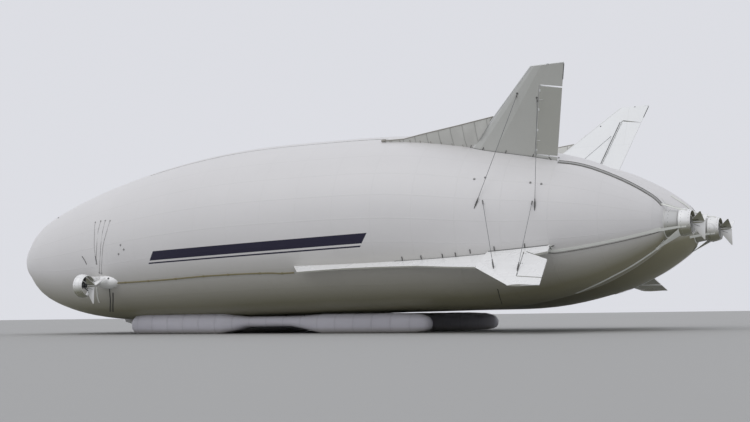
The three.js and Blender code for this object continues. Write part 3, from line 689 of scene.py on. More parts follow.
# The top tube's line: x, and distance up the fin's plane.
STRAKE_TOP = [(-1.282, 2.394), (-1.530, 2.392), (-1.775, 2.430), (-2.220, 2.490), (-2.660, 2.555)]
STRAKE_BOW, TOP_END, FOOT_END, STEPS = -1.290, -2.618, -2.325, 60
tube_line, lacing_line = [], []
for i in range(STEPS + 1):
    x = STRAKE_BOW + (TOP_END - STRAKE_BOW) * i / STEPS
    (x0, s0), (x1, s1) = next((a, b) for a, b in zip(STRAKE_TOP, STRAKE_TOP[1:]) if x >= b[0])
    tube_line.append(on_wing(FIN, x, s0 + (s1 - s0) * (x0 - x) / (x0 - x1)))
    x = STRAKE_BOW + (FOOT_END - STRAKE_BOW) * i / STEPS
    lacing_line.append(wing_foot(FIN, x, 0) - FIN["up"] * 0.006)
cloth = bridged([[p - FIN["up"] * 0.004 for p in tube_line], lacing_line], 11)
# The folds die out at the tube and at the hull, and are deepest where the cloth is furthest from both.
FURTHEST, SWELL, SAG, FOLD = 0.25, 1.92, 0.35, 0.3
(knee, knee_height), TOP_RISE = STRAKE_TOP[1], 0.145
for vertex in cloth.data.vertices:
    x, height = vertex.co.x, vertex.co.dot(FIN["up"])
    top = knee_height + max(knee - x, 0) * TOP_RISE
    depth = min(max(top - height, 0), FURTHEST)
    hang = min(max(height - wing_foot(FIN, x, 0).dot(FIN["up"]), 0), FURTHEST)
    folds = 0.45 * sin(x * 31 + height * 9) + 0.3 * sin(x * 67 - height * 40)
    vertex.co -= FIN["face"] * SWELL * depth * hang * (SAG + FOLD * folds)
modified(cloth, "SOLIDIFY", thickness=0.003, offset=0)
outward(cloth)
canvas, canvas_shader, place, tone, bump = coated("strake_cloth", (0.60, 0.60, 0.565), 0.75, 0.06, 7.0, 600.0, 0.0003)
canvas_shader.inputs["Sheen Weight"].default_value = 0.25
seam_at = add(canvas, "ShaderNodeSeparateXYZ", {"Vector": place})["X"]
stitched = reckoned(canvas, "LESS_THAN", off_middle(canvas, seam_at, 0.145), 0.035)
tone = tinted(canvas, reckoned(canvas, "MULTIPLY", stitched, 0.5), tone, (0.25, 0.25, 0.23, 1))
surfaced(canvas, canvas_shader, tone, raised(canvas, stitched, 0.0015, bump))
# Laid flat, the sheet fills 0.30 by 1.34 m, measured in the fin's plane.
for made, side in ((cloth, "port"), (mirrored(cloth), "starboard")):
    settled(made, "strake_cloth_" + side, canvas, stands_for=("dorsal_strake_" + side,))
forward = Vector((0.008, 0, 0))
tubes = [drawn_line(tube_line, 0.006), drawn_line([tube_line[-1] + forward, lacing_line[-1] + forward], 0.0065)]
tubes.append(drawn_line([p - FIN["face"] * 0.004 for p in lacing_line[::3]], 0.0035))
for foot in lacing_line[4:60:7]:
    tubes.append(drawn_line([foot, foot + FIN["up"] * 0.03 - FIN["face"] * 0.005], 0.0035))
tubes.append(drawn_line([tube_line[0] + Vector((0.03, 0, 0)), tube_line[0] - Vector((0.02, 0, 0))], 0.014))
tube_paint, *_ = coated("strake_tube", (0.30, 0.285, 0.25), 0.5, 0.08, 20.0)
settled(both_sides(tubes), "strake_frames", tube_paint)


# Side fins, elevators and the long strakes ahead of them: white gloss panels that droop from the hull.
# The solid panels come from the frame; root seals, ties, tip caps and hinge knuckles go on them.
DROOP = radians(24.5)
SIDE_FIN = {
    "root": (-0.250, -1.915, -3.470, 0.034),
    "tip": (0.850, -3.128, -3.448, 0.011),
    "foot": (-0.35, 0.3),
    "origin": Vector((0, 1.400, 0.810)),
    "up": Vector((0, cos(DROOP), -sin(DROOP))),
    "face": Vector((0, sin(DROOP), cos(DROOP))),
}
paint = ("side_fin_paint", (0.85, 0.85, 0.84), 0.28, DROOP, (0.36, 0.20))
# Painted shade: the white panels darken with dust and painted shade where they face down.
white = panelled(*paint, coat=0.5, mottle=0.02, faint=0.15, dust_and_shade_film=0.9)
dressed(white, *[part + side for part in ("side_fin_", "elevator_", "side_strake_") for side in ("port", "starboard")])

roots = []
for face in (1, -1):
    ahead_part = [wing_foot(SIDE_FIN, -1.60 - 0.0333 * i, 0) + SIDE_FIN["face"] * face * 0.008 for i in range(31)]
    roots.append(drawn_line(ahead_part, 0.0035))
    points = [wing_foot(SIDE_FIN, -2.62 - 0.031 * i, face, 0.002) for i in range(20)]
    roots.append(drawn_line(points, 0.0045))
for x in (-1.693, -1.906, -2.139, -2.280, -2.437, -2.686, -2.986):
    foot = wing_foot(SIDE_FIN, x, 1, 0.002)
    radius, height, spacing = hull_section(x)
    start = degrees(atan2(foot.z - height, foot.y - spacing))
    roots.append(drawn_line([on_hull(x, start + rise_by, 0.002) for rise_by in (0.4, 1.8, 3.2)], 0.006))
aft_end = points[-1]
for dx, dy, dz in ((-0.05, 0.05, 0.0), (-0.06, 0.0, 0.02), (-0.03, 0.05, 0.03), (0.03, 0.06, 0.0)):
    roots.append(drawn_line([aft_end, aft_end + Vector((dx, dy, dz - dy * 0.35))], 0.005))
settled(both_sides(roots), "side_root_seals", seal)

low, high = on_wing(SIDE_FIN, -3.026, 0.049), on_wing(SIDE_FIN, -3.155, 0.652)
knuckles = []
for t in (0.08, 0.5, 0.92):
    knuckles.append(drawn_line([along(low, high, t - 0.02), along(low, high, t + 0.02)], 0.0235 - 0.0088 * t))
whole = joined(knuckles)
for side, made in (("port", whole), ("starboard", mirrored(whole))):
    settled(made, "elevator_knuckles_" + side, seal, body="elevator_" + side)
tip_line = [on_wing(SIDE_FIN, x, s) for x, s in ((-3.112, 0.838), (-3.26, 0.845), (-3.444, 0.849))]
settled(both_sides([drawn_line(tip_line, 0.006)]), "side_fin_tips", cap_paint)


# Fin stays: taut wire ropes from the fins down to the hull, each shortened by a turnbuckle at its lower end.
# The wires come from the frame; turnbuckle bodies, forks and eye plates are added on their line. The inboard
# stays are added whole.
wire, *_ = coated("stay_wire", (0.17, 0.175, 0.18), 0.42, 0.1, 60.0, 900.0, 0.0003, metal=0.7)
# Each wire's top and foot on the port side.
STAYS = {
    "fin_front": ((-2.938, 1.343, 2.428), (-2.505, 1.515, 1.255)),
    "fin_rear": ((-3.136, 1.311, 2.370), (-3.101, 1.369, 1.214)),
    "side_front": ((-2.585, 1.481, 1.345), (-2.847, 1.833, 0.612)),
    "side_rear": ((-3.074, 1.356, 1.319), (-3.110, 1.900, 0.582)),
}
dressed(wire, *["stay_" + stay + "_" + side for stay in STAYS for side in ("port", "starboard")])
fittings = []
for stay, (top, foot) in STAYS.items():
    top, foot = Vector(top), Vector(foot)
    way = (top - foot).normalized()
    start = 0.012 if stay.startswith("fin") else 0.02
    for near, far, radius in ((0.0, 0.03, 0.0055), (0.026, 0.082, 0.0085), (0.078, 0.112, 0.0055)):
        fittings.append(drawn_line([foot + way * (start + near), foot + way * (start + far)], radius))
    fittings.append(drawn_line([top - way * 0.004, top - way * 0.05], 0.0055))
for x, s in ((-2.938, 2.775), (-3.136, 2.709)):
    fittings.append(patch(on_wing(FIN, x, s, -1, -0.001), -FIN["face"], 0.011, 0.004))
settled(both_sides(fittings), "turnbuckles", seal)
inner_top, inner_foot = on_wing(FIN, -3.077, 2.612, 1), Vector((-2.950, 0.462, 1.896))
inner = [drawn_line([inner_top, inner_foot], 0.0025)]
inner.append(drawn_line([inner_foot, along(inner_foot, inner_top, 0.09)], 0.008))
inner.append(patch(on_wing(FIN, -2.926, 2.780, 1, -0.001), FIN["face"], 0.009, 0.003))
settled(both_sides(inner), "inboard_stays", wire)


# Propulsors: a white composite duct round a propeller, with the engine pod ahead of it on three struts and
# three steering vanes behind. One of each part is modelled at the origin and copied to the four places.
THIRD = 2 * pi / 3
# Each place's name, the x of the duct's rear rim, its distance from the middle and its height.
# Rings are a radius and a distance ahead of the rear rim, and outlines are that distance and one from the axis.
PROPULSORS = [("rear", -4.482, 0.600, 1.086), ("front", 2.463, 1.690, 0.590)]


def copied(made, shift, turn_by=0.0):
    """A piece's own copy, turned about the X axis and moved."""
    other = made.copy()
    other.data = made.data.copy()
    bpy.context.collection.objects.link(other)
    alone(other)
    other.matrix_world = Matrix.Translation(shift) @ Matrix.Rotation(turn_by, 4, "X") @ made.matrix_world
    bpy.ops.object.transform_apply()
    return other


DUCT = [(0.1180, 0.0005), (0.1245, 0.020), (0.1310, 0.040), (0.1365, 0.060), (0.1402, 0.082), (0.1408, 0.095)]
DUCT += [(0.1385, 0.112), (0.1350, 0.1192), (0.1325, 0.1200), (0.1295, 0.1150), (0.1275, 0.105), (0.1270, 0.060)]
DUCT += [(0.1250, 0.040), (0.1135, 0.0035), (0.1150, 0.0010), (0.1180, 0.0005)]
REAR_BAND = [(0.1215, 0.0135), (0.1238, 0.0140), (0.1258, 0.0200), (0.1240, 0.0205), (0.1215, 0.0135)]
FRONT_BAND = [(0.1395, 0.084), (0.1416, 0.085), (0.1416, 0.091), (0.1395, 0.092), (0.1395, 0.084)]
shell_parts = [turned_rings(rings, 72, ring=True) for rings in (DUCT, REAR_BAND, FRONT_BAND)]
bolts = []
for i in range(24):
    for x, radius, tilt in ((0.017, 0.1246, -0.3), (0.088, 0.1413, 0)):
        head = patch((x, 0, radius), (tilt, 0, 1), 0.0022, 0.0008)
        head.matrix_world = Matrix.Rotation(i * pi / 12, 4, "X") @ head.matrix_world
        bolts.append(head)
# Painted shade: the ducts' down-facing sides are tinted with dust and painted shade.
duct_white = panelled("duct_white", (0.86, 0.86, 0.85), 0.25, 0.0, (0.5, 0.094), coat=0.6, mottle=0.02, dust_and_shade_film=0.95)

POD_TAIL = [(0.0005, 0.0735), (0.020, 0.0740), (0.026, 0.0765), (0.031, 0.084), (0.033, 0.094)]
POD_HEAD = [(0.033, 0.118), (0.0315, 0.128), (0.027, 0.136), (0.018, 0.142), (0.0005, 0.1438)]
pod_rings = {"rear": POD_TAIL + [(0.033, 0.122), (0.033, 0.1275)], "front": POD_TAIL + POD_HEAD}


def flat_cut(outline, thickness, bevel):
    """A plate cut to a closed outline in the XZ plane, centred on it, with its edges eased."""
    plate = chain([(x, 0, z) for x, z in outline])
    bpy.ops.object.mode_set(mode="EDIT")
    bpy.ops.mesh.select_all(action="SELECT")
    bpy.ops.mesh.edge_face_add()
    bpy.ops.object.mode_set(mode="OBJECT")
    modified(plate, "SOLIDIFY", thickness=thickness, offset=0)
    modified(plate, "BEVEL", width=bevel, segments=2, limit_method="ANGLE")
    return outward(plate)


STRUT = [(0.082, 0.026), (0.108, 0.026), (0.106, 0.1262), (0.086, 0.1262)]
VANE = [(-0.0008, 0.014), (-0.0008, 0.117), (-0.009, 0.117), (-0.011, 0.060), (-0.106, 0.181)]
VANE += [(-0.1175, 0.1835), (-0.1175, 0.010), (-0.108, 0.006)]
KEEL_VANE = [(-0.0008, 0.014), (-0.0008, 0.117), (-0.009, 0.117), (-0.072, 0.2155)]
KEEL_VANE += [(-0.085, 0.2195), (-0.0895, 0.210), (-0.0895, 0.010), (-0.080, 0.006)]
strut = flat_cut(STRUT, 0.007, 0.0025)
vane = flat_cut(VANE, 0.006, 0.002)
keel_vane = flat_cut(KEEL_VANE, 0.006, 0.002)
vane_rods = joined([drawn_line([(-0.012, y, 0.026), (-0.070, y, 0.048)], 0.0018) for y in (0.0048, -0.0048)])
CONE = [(0.0005, -0.110), (0.006, -0.108), (0.011, -0.098), (0.0145, -0.06), (0.0155, -0.012), (0.0155, -0.0008)]
cone = turned_rings(CONE, 24)

# The propeller: a round hub with a spinner, and three blades drawn out of a hoop, thinned and twisted.
# Blade stations are half its thickness, half its width and the distance from the axis.
HUB = [(0.0005, 0.0205), (0.006, 0.0210), (0.013, 0.0245), (0.020, 0.031), (0.0245, 0.040)]
HUB += [(0.026, 0.048), (0.026, 0.0675), (0.0235, 0.0695), (0.008, 0.070), (0.008, 0.0725)]
BLADE = [(0.0045, 0.013, 0.018), (0.0042, 0.017, 0.030), (0.0036, 0.021, 0.045), (0.0030, 0.021, 0.065)]
BLADE += [(0.0025, 0.019, 0.085), (0.0019, 0.015, 0.102), (0.0014, 0.010, 0.113), (0.0008, 0.004, 0.1172)]
hub = turned_rings(HUB, 32)
thick, wide, out = BLADE[0]
bpy.ops.mesh.primitive_circle_add(vertices=16, radius=1, fill_type="NGON")
blade = bpy.context.object
bpy.ops.transform.resize(value=(thick, wide, 1))
bpy.ops.transform.translate(value=(0, 0, out))
bpy.ops.object.transform_apply()
bpy.ops.object.mode_set(mode="EDIT")
for (thick, wide, out), (thick2, wide2, out2) in zip(BLADE, BLADE[1:]):
    bpy.ops.mesh.extrude_region_move(TRANSFORM_OT_translate={"value": (0, 0, out2 - out)})
    bpy.ops.transform.resize(value=(thick2 / thick, wide2 / wide, 1), center_override=(0, 0, out2))
bpy.ops.object.mode_set(mode="OBJECT")
outward(blade)
modified(blade, "SIMPLE_DEFORM", deform_method="TWIST", deform_axis="Z", angle=radians(-26))
blade.matrix_world = Matrix.Rotation(radians(-36), 4, "Z")
bpy.ops.object.transform_apply()
propeller = joined([hub] + [copied(blade, Vector((0.056, 0, 0)), i * THIRD) for i in range(3)])
bpy.data.objects.remove(blade)

pod_grey = panelled("pod_grey", (0.075, 0.078, 0.082), 0.45, 0.0, (0.04, 0.03), depth=0.0003)
blade_black, *_ = coated("blade_black", (0.022, 0.022, 0.024), 0.32, 0.15, 25.0, 700.0, 0.0001, coat=0.4)
dark_rod, *_ = coated("dark_rod", (0.06, 0.06, 0.062), 0.4, 0.1, 40.0, metal=0.6)
duct_parts = joined(shell_parts)
duct_bolts = joined(bolts)
for place, rear, reach, height in PROPULSORS:
    pod = turned_rings(pod_rings[place], 32)
    for side, hand in (("port", 1), ("starboard", -1)):
        at = Vector((rear, hand * reach, height))
        tail = place + "_" + side
        settled(copied(duct_parts, at), "duct_shell_" + tail, duct_white, stands_for=("duct_" + tail,))
        settled(copied(duct_bolts, at), "duct_bolts_" + tail, dark_rod)
        parts = [copied(pod, at)] + [copied(strut, at, i * THIRD) for i in range(3)]
        settled(joined(parts), "pod_" + tail, pod_grey, stands_for=("engine_pod_" + tail,))
        spinning = "propeller_" + tail
        settled(copied(propeller, at), "blades_" + tail, blade_black, spinning, (spinning,))
        lowest = keel_vane if place == "front" else vane
        parts = [copied(cone, at), copied(lowest, at, pi)] + [copied(vane, at, pi + i * THIRD) for i in (1, 2)]
        settled(joined(parts), "vanes_" + tail, duct_white, stands_for=("vane_set_" + tail,))
        parts = [copied(vane_rods, at, pi + i * THIRD) for i in range(3)]
        settled(joined(parts), "vane_rods_" + tail, dark_rod)
    bpy.data.objects.remove(pod)
for spare in (duct_parts, duct_bolts, strut, vane, keel_vane, vane_rods, cone, propeller):
    bpy.data.objects.remove(spare)


# Stern collars: light grey composite cones bolted to the envelope's end rings, which carry the rear engines.
# Each has a flange with a ring of bolts; flat tapered arms of webbing run from the hull's straps to the duct.
STERN_Y, STERN_Z = 0.600, 1.086
COLLAR = [(0.0005, -4.3538), (0.105, -4.3538), (0.1140, -4.3525), (0.1200, -4.346), (0.1365, -4.240)]
COLLAR += [(0.1400, -4.236), (0.1410, -4.231), (0.1405, -4.2245), (0.100, -4.2245), (0.0005, -4.2245)]
collar = turned_rings(COLLAR, 64, centre=(STERN_Y, STERN_Z))
ties = []
for i in range(20):
    a = i * pi / 10
    rim = (-4.262, STERN_Y + 0.1330 * cos(a), STERN_Z + 0.1330 * sin(a))
    ties.append(patch(rim, (-0.15, cos(a), sin(a)), 0.003, 0.001))
# Painted shade: the collars' lower sides are tinted with dust and painted shade.
collar_grey, *_ = coated("collar_grey", (0.62, 0.62, 0.61), 0.45, 0.04, 6.0, 300.0, 0.0001, dust_and_shade_film=0.8)
collars = ("stern_collar_port", "stern_collar_starboard")
settled(both_sides([collar]), "collar_shells", collar_grey, stands_for=collars)
settled(both_sides(ties), "collar_ties", dark_rod)


def round_stern(x, radius, angle):
    """A point round the port stern axis: the angle in degrees is up from straight outboard."""
    return Vector((x, STERN_Y + radius * cos(radians(angle)), 1.088 + radius * sin(radians(angle))))


# Each arm is two drawn edges, bridged and given their thickness; the lowest one flares along the duct's lip.
hull_edge = [round_stern(-4.165, 0.243, angle) for angle in range(-81, -70, 2)]
lip_edge = [round_stern(-4.366, 0.1405, angle) for angle in range(-72, -31, 8)]
arms = [bridged([hull_edge, lip_edge], 6)]
ARM_STATIONS = ((-4.190, 0.215, 3.8), (-4.372, 0.1425, 4.2), (-4.445, 0.1345, 3.2))
for angle in (62, -23, 112, 206):
    edges = []
    for edge in (1, -1):
        edges.append([round_stern(x, radius, angle + edge * spread) for x, radius, spread in ARM_STATIONS])
    arms.append(bridged(edges, 1))
END_RING = [(0.1455, -4.222), (0.151, -4.218), (0.170, -4.208), (0.172, -4.204)]
arms.append(turned_rings(END_RING, 64, ring=True, centre=(STERN_Y, 1.090)))
arms = [outward(modified(outward(arm), "SOLIDIFY", thickness=0.004, offset=0)) for arm in arms]
settled(both_sides(arms), "stern_arms", webbing)


# Front pylons: a white blister bonded to the hull and a streamlined arm that holds the duct.
# The blister is a hoop drawn out and in again along X; the arm is a tapered hoop, hollowed where the duct sits.
BLISTER_X, BLISTER_Y, BLISTER_Z = 2.390, 1.425, 0.640
BLISTER_LONG, BLISTER_WIDE, BLISTER_TALL, BLISTER_HOOPS = 0.189, 0.0845, 0.0875, 25
ARM_X, ARM_Z, ARM_IN, ARM_OUT, ARM_TAPER = 2.507, 0.648, 1.390, 1.590, 0.844
blister_hoops = []
for i in range(BLISTER_HOOPS):
    a = pi * (i + 0.5) / BLISTER_HOOPS
    x, wide, tall = BLISTER_X - BLISTER_LONG * cos(a), BLISTER_WIDE * sin(a), BLISTER_TALL * sin(a)
    blister_hoops.append((x, BLISTER_Y, BLISTER_Z, wide, tall))
blister = hoops_drawn(blister_hoops, 40)
bpy.ops.mesh.primitive_circle_add(vertices=40, radius=1, fill_type="NGON", rotation=(-pi / 2, 0, 0))
arm = bpy.context.object
bpy.ops.transform.resize(value=(0.0704, 1, 0.064))
bpy.ops.transform.translate(value=(ARM_X, ARM_IN, ARM_Z))
bpy.ops.object.transform_apply()
bpy.ops.object.mode_set(mode="EDIT")
bpy.ops.mesh.select_all(action="SELECT")
bpy.ops.mesh.extrude_region_move(TRANSFORM_OT_translate={"value": (0, ARM_OUT - ARM_IN, 0)})
bpy.ops.transform.resize(value=(ARM_TAPER, 1, ARM_TAPER), center_override=(ARM_X, ARM_OUT, ARM_Z))
bpy.ops.object.mode_set(mode="OBJECT")
outward(arm)
DUCT_ROOM = [(0.0005, -0.080), (0.112, -0.080), (0.116, 0.0), (0.129, 0.040), (0.138, 0.082)]
DUCT_ROOM += [(0.138, 0.2), (0.0005, 0.2)]
duct_room = turned_rings(DUCT_ROOM, 72)
_, *front_duct = PROPULSORS[1]
bpy.ops.transform.translate(value=front_duct)
bpy.ops.object.transform_apply()
modified(arm, "BOOLEAN", operation="DIFFERENCE", object=duct_room, solver="EXACT")
bpy.data.objects.remove(duct_room)
paint = ("pylon_white", (0.87, 0.87, 0.86), 0.28, 0.0, (0.5, 0.094))
# Painted shade: a light tint of dust and painted shade on the pylons' undersides.
pylon_white = panelled(*paint, coat=0.5, mottle=0.02, faint=0.15, dust_and_shade_film=0.25)
pylons = ("pylon_port", "pylon_starboard")
settled(both_sides([blister, arm]), "pylon_fairings", pylon_white, stands_for=pylons, smooth=50)
discs = [patch((2.323, 1.4965, 0.676), (-1.86, 9.9, 4.65), 0.012, 0.0015)]
for i in range(9):
    a = pi * (0.12 + 0.76 * i / 8)
    y, z = BLISTER_Y + BLISTER_WIDE * sin(a) * 0.30, BLISTER_Z + BLISTER_TALL * sin(a) * 0.95
    discs.append(patch((BLISTER_X - 0.190 * cos(a), y, z), (-0.3 * cos(a), 0.30, 0.95), 0.0028, 0.0010))
settled(both_sides(discs), "pylon_fasteners", dark_rod)


# Skids: long air cushions of coated fabric under each lobe, two broad pads joined by a raised waist.
# A hoop is drawn out along the cushion, squared, flattened on its sole and pinched at each seam, as inflated.
# Skid stations: x, height of the underside, height of the top, half width.
SKID = [
    (2.420, 0.080, 0.150, 0.040),
    (2.380, 0.025, 0.205, 0.095),
    (2.270, 0.004, 0.228, 0.125),
    (2.100, 0.000, 0.236, 0.135),
    (1.500, 0.000, 0.236, 0.135),
    (1.060, 0.000, 0.232, 0.130),
    (0.820, 0.045, 0.205, 0.105),
    (0.700, 0.080, 0.194, 0.095),
    (0.060, 0.082, 0.192, 0.095),
    (-0.170, 0.040, 0.196, 0.100),
    (-0.350, 0.000, 0.206, 0.115),
    (-1.300, 0.000, 0.206, 0.115),
    (-1.560, 0.006, 0.196, 0.105),
    (-1.670, 0.028, 0.170, 0.080),
    (-1.705, 0.070, 0.125, 0.035),
]
stations = [Vector(station) for station in SKID]
SKID_BOW, SKID_LENGTH, SKID_HOOPS = 2.419, 4.123, 140
SEAM_BOW, SEAM_PITCH = 2.27, 0.235
PINCH_DEPTH, PINCH_HALF, SQUARENESS, SOLE_SPREAD = 0.030, 0.030, 0.8, 1.12
hoops = []
for i in range(SKID_HOOPS + 1):
    x = SKID_BOW - SKID_LENGTH * i / SKID_HOOPS
    for start, end in zip(stations, stations[1:]):
        if start[0] >= x >= end[0]:
            _, low, high, half = start.lerp(end, (start[0] - x) / (start[0] - end[0]))
    hoops.append((x, 0.905, (low + high) / 2, half, (high - low) / 2))
cushion = hoops_drawn(hoops, 44)
seam_places = [SEAM_BOW - SEAM_PITCH * i for i in range(17)]
for vertex in cushion.data.vertices:
    x, y, z = vertex.co
    _, middle_y, middle_z, half, tall = hoops[round((SKID_BOW - x) / SKID_LENGTH * SKID_HOOPS)]
    across, up = (y - middle_y) / half, (z - middle_z) / tall
    near = min(abs(x - place) for place in seam_places)
    puff = 1 - PINCH_DEPTH * max(0, 1 - near / PINCH_HALF)
    across, up = (abs(v) ** SQUARENESS * (1 if v > 0 else -1) for v in (across, up))
    vertex.co.y = middle_y + across * half * puff
    vertex.co.z = middle_z + max(-1, SOLE_SPREAD * up) * tall * (puff if up > -0.7 else 1)
outward(cushion)
modified(cushion, "SMOOTH", factor=0.5, iterations=2)
finish = ("skid_fabric", (0.56, 0.55, 0.60), 0.42, 0.05, 5.0, 420.0, 0.0003)
coated_cloth, cloth_shader, place, tone, bump = coated(*finish)
spots = add(coated_cloth, "ShaderNodeSeparateXYZ", {"Vector": place})
from_seam = reckoned(coated_cloth, "SUBTRACT", spots["X"], SEAM_BOW - SEAM_PITCH / 2)
tape_at = reckoned(coated_cloth, "LESS_THAN", off_middle(coated_cloth, from_seam, SEAM_PITCH), 0.045)
tone = tinted(coated_cloth, reckoned(coated_cloth, "MULTIPLY", tape_at, 0.18), tone, (0.35, 0.34, 0.38, 1))
scuff = ramped(coated_cloth, spots["Z"], 0.07, 0.0, high=0.7)
tone = tinted(coated_cloth, scuff, tone, (0.30, 0.28, 0.22, 1))
surfaced(coated_cloth, cloth_shader, tone, raised(coated_cloth, tape_at, 0.0012, bump))
for made, side in ((cushion, "port"), (mirrored(cushion), "starboard")):
    settled(made, "skid_cushion_" + side, coated_cloth, stands_for=("skid_" + side,), smooth=60)


# Keel: a dark beam hung from the hull, with flanges, gussets at its hangers and the bow's mooring spindle.
# The beam comes from the frame; the flanges are round lines, and the spindle is turned from rings of steel.
beam_grey = panelled("keel_grey", (0.085, 0.088, 0.092), 0.5, 0.0, (0.30, 0.032), depth=0.0004)
dressed(beam_grey, "keel_beam")
flanges = []
for z in (0.3535, 0.3825):
    for y in (0.0225, -0.0225):
        flanges.append(drawn_line([(0.205, y, z), (3.695, y, z)], 0.003))
for x in (0.4, 1.1, 1.8, 2.5, 3.1):
    for ahead_by in (-0.06, 0.084):
        flanges.append(drawn_line([(x + ahead_by, 0, 0.384), (x + 0.012, 0, 0.46)], 0.005))
settled(joined(flanges), "keel_braces", dark_rod)
MOORING_Z = 0.368
MOORING = [(0.040, 3.7005), (0.040, 3.727), (0.036, 3.731), (0.024, 3.745), (0.0165, 3.760), (0.0160, 3.808)]
MOORING += [(0.0215, 3.816), (0.026, 3.822), (0.026, 3.840), (0.021, 3.846), (0.002, 3.8495)]
parts = [turned_rings(MOORING, 40, centre=(0, MOORING_Z))]
for i in range(8):
    a = i * pi / 4
    parts.append(patch((3.727, 0.031 * cos(a), MOORING_Z + 0.031 * sin(a)), (1, 0, 0), 0.0045, 0.003))
steel, *_ = coated("brushed_steel", (0.38, 0.385, 0.39), 0.34, 0.08, 40.0, 800.0, 0.0001, metal=0.9)
settled(joined(parts), "mooring_spindle", steel, stands_for=("mooring_fitting",))


# Modules: the payload and fuel modules are closed white composite boxes clamped under the keel beam.
# Clamp bands, hatch rims, vent slats and a filler cap go on the boxes that the frame carries.
module_white = panelled("module_white", (0.78, 0.78, 0.77), 0.32, 0.0, (0.23, 0.09), coat=0.4, mottle=0.02)
dressed(module_white, "payload_module", "fuel_module")


def rimmed(corner, along_u, along_v, rim, depth):
    """A frame round a rectangle: a plane inset, its middle taken out, and given its thickness."""
    u, v = Vector(along_u), Vector(along_v)
    normal = u.cross(v).normalized()
    axes = Matrix((u.normalized(), v.normalized(), normal)).transposed().to_4x4()
    bpy.ops.mesh.primitive_plane_add(size=1)
    made = bpy.context.object
    centre = Matrix.Translation(Vector(corner) + (u + v) / 2)
    made.matrix_world = centre @ axes @ Matrix.Diagonal((u.length, v.length, 1, 1))
    bpy.ops.object.transform_apply()
    bpy.ops.object.mode_set(mode="EDIT")
    bpy.ops.mesh.select_all(action="SELECT")
    bpy.ops.mesh.inset(thickness=rim)
    bpy.ops.mesh.delete(type="FACE")
    bpy.ops.object.mode_set(mode="OBJECT")
    modified(made, "BEVEL", affect="VERTICES", width=rim * 0.9, segments=3)
    modified(made, "SOLIDIFY", thickness=depth, offset=0)
    return outward(made)


# Each module's ends, the height of its underside and half its width.
MODULES = ((1.250, 1.950, 0.130, 0.140), (0.350, 1.000, 0.150, 0.130))
BOX_TOP, HATCH, HATCH_RIM, HATCH_DEPTH = 0.3517, 0.20, 0.006, 0.003
trim = []
for x0, x1, low, half in MODULES:
    shoulder_low, shoulder_high = low + 0.060, BOX_TOP - 0.050
    clamps = (x0 + 0.06, (x0 + x1) / 2, x1 - 0.06)
    for hand in (1, -1):
        wall = hand * (half + 0.001)
        for x in (x0 + 0.09, x1 - 0.09 - HATCH):
            tall = (0, 0, shoulder_high - shoulder_low - 0.036)
            trim.append(rimmed((x, wall, shoulder_low + 0.018), (HATCH, 0, 0), tall, HATCH_RIM, HATCH_DEPTH))
        for x in clamps:
            lower, upper = (x, hand * half * 0.7, low), (x, hand * half * 0.62, 0.351)
            trim.append(drawn_line([lower, (x, wall, shoulder_low), (x, wall, shoulder_high), upper], 0.004))
    for x in clamps:
        trim.append(drawn_line([(x, -half * 0.7, low), (x, half * 0.7, low)], 0.0035))
    long = (x1 - x0 - 2 * HATCH, 0, 0)
    trim.append(rimmed((x0 + HATCH, -0.05, low - 0.0005), (0, 0.10, 0), long, HATCH_RIM, HATCH_DEPTH))
for x in (0.62, 0.66, 0.70, 0.74):
    trim.append(drawn_line([(x, 0.131, 0.222), (x, 0.131, 0.290)], 0.003))
trim.append(patch((0.50, 0.129, 0.255), (0, 1, 0), 0.020, 0.004))
settled(joined(trim), "module_trim", dark_rod)


# Flight deck: a white composite cabin under the keel beam, glazed in front and along both sides.
# The hollow shell, its door and its glass come from the frame. Rubber window frames, a door handle, a lamp, two
# probes under the floor and two mounting feet on the roof go on them.
deck_white = panelled("deck_white", (0.80, 0.80, 0.79), 0.28, 0.0, (0.24, 0.12), coat=0.6, mottle=0.02)
dressed(deck_white, "flight_deck", "deck_door")
glass = bpy.data.materials.new("tinted_glass")
glass.use_nodes = True
shader = glass.node_tree.nodes["Principled BSDF"]
for socket, value in (("Base Color", (0.05, 0.065, 0.075, 1)), ("Transmission Weight", 0.35), ("Coat Weight", 0.8)):
    shader.inputs[socket].default_value = value
place = add(glass, "ShaderNodeTexCoord")["Object"]
smears = add(glass, "ShaderNodeTexNoise", {"Vector": place, "Scale": 18.0, "Detail": 5.0})["Fac"]
glass.node_tree.links.new(ramped(glass, smears, low=0.03, high=0.16), shader.inputs["Roughness"])
dressed(glass, "glazing_port", "glazing_starboard", "windscreen")
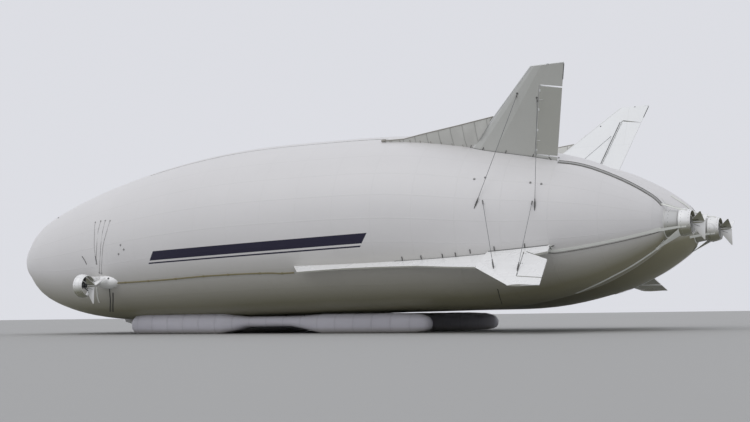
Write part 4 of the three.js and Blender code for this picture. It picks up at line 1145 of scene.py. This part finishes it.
rubber, *_ = coated("window_rubber", (0.03, 0.03, 0.032), 0.6, 0.1, 40.0)


WIDEST_HALF, WIDEST_Z, WALL_LEAN = 0.1375, 0.2235, 0.354


def wall_y(z):
    """Half the cabin's width at a height above its widest line."""
    return WIDEST_HALF - WALL_LEAN * (z - WIDEST_Z)


frames = []
WINDOW_LOW, WINDOW_HIGH = 0.231, 0.317
for hand in (1, -1):
    for x in (2.640, 2.750, 2.860):
        corner = (x - 0.005, hand * (wall_y(WINDOW_LOW) + 0.0005), WINDOW_LOW)
        rise_by = (0, hand * (wall_y(WINDOW_HIGH) - wall_y(WINDOW_LOW)), WINDOW_HIGH - WINDOW_LOW)
        frames.append(rimmed(corner, (0.100, 0, 0), rise_by, 0.0065, 0.004))
for hand in (1, -1):
    rail = [(2.56, hand * 0.1325, WIDEST_Z), (2.62, hand * 0.1393, WIDEST_Z), (2.975, hand * 0.1378, 0.2240)]
    frames.append(drawn_line(rail, 0.002))
frames.append(drawn_line([(3.196, 0, 0.345), (3.262, 0, 0.296)], 0.004))
settled(joined(frames), "window_frames", rubber)
fixtures = [patch((3.297, 0, 0.232), (1, 0, 0), 0.017, 0.004)]
fixtures.append(drawn_line([(2.75, 0.03, 0.121), (2.75, 0.03, 0.095), (2.735, 0.03, 0.080)], 0.0035))
fixtures.append(drawn_line([(2.90, -0.03, 0.121), (2.90, -0.03, 0.100)], 0.006))
for x in (2.62, 3.10):
    fixtures.append(drawn_line([(x, 0, 0.348), (x, 0, 0.356)], 0.020))
settled(joined(fixtures), "deck_fixtures", dark_rod)
PANE_LOW, PANE_HIGH = 0.240, 0.290
door_parts = [drawn_line([(2.998, 0.1385, 0.212), (3.022, 0.1385, 0.212)], 0.0035)]
rise_by = (0, wall_y(PANE_HIGH) - wall_y(PANE_LOW), PANE_HIGH - PANE_LOW)
door_parts.append(rimmed((3.003, wall_y(PANE_LOW) + 0.001, PANE_LOW), (0.052, 0, 0), rise_by, 0.004, 0.003))
settled(joined(door_parts), "door_fittings", rubber, body="deck_door")
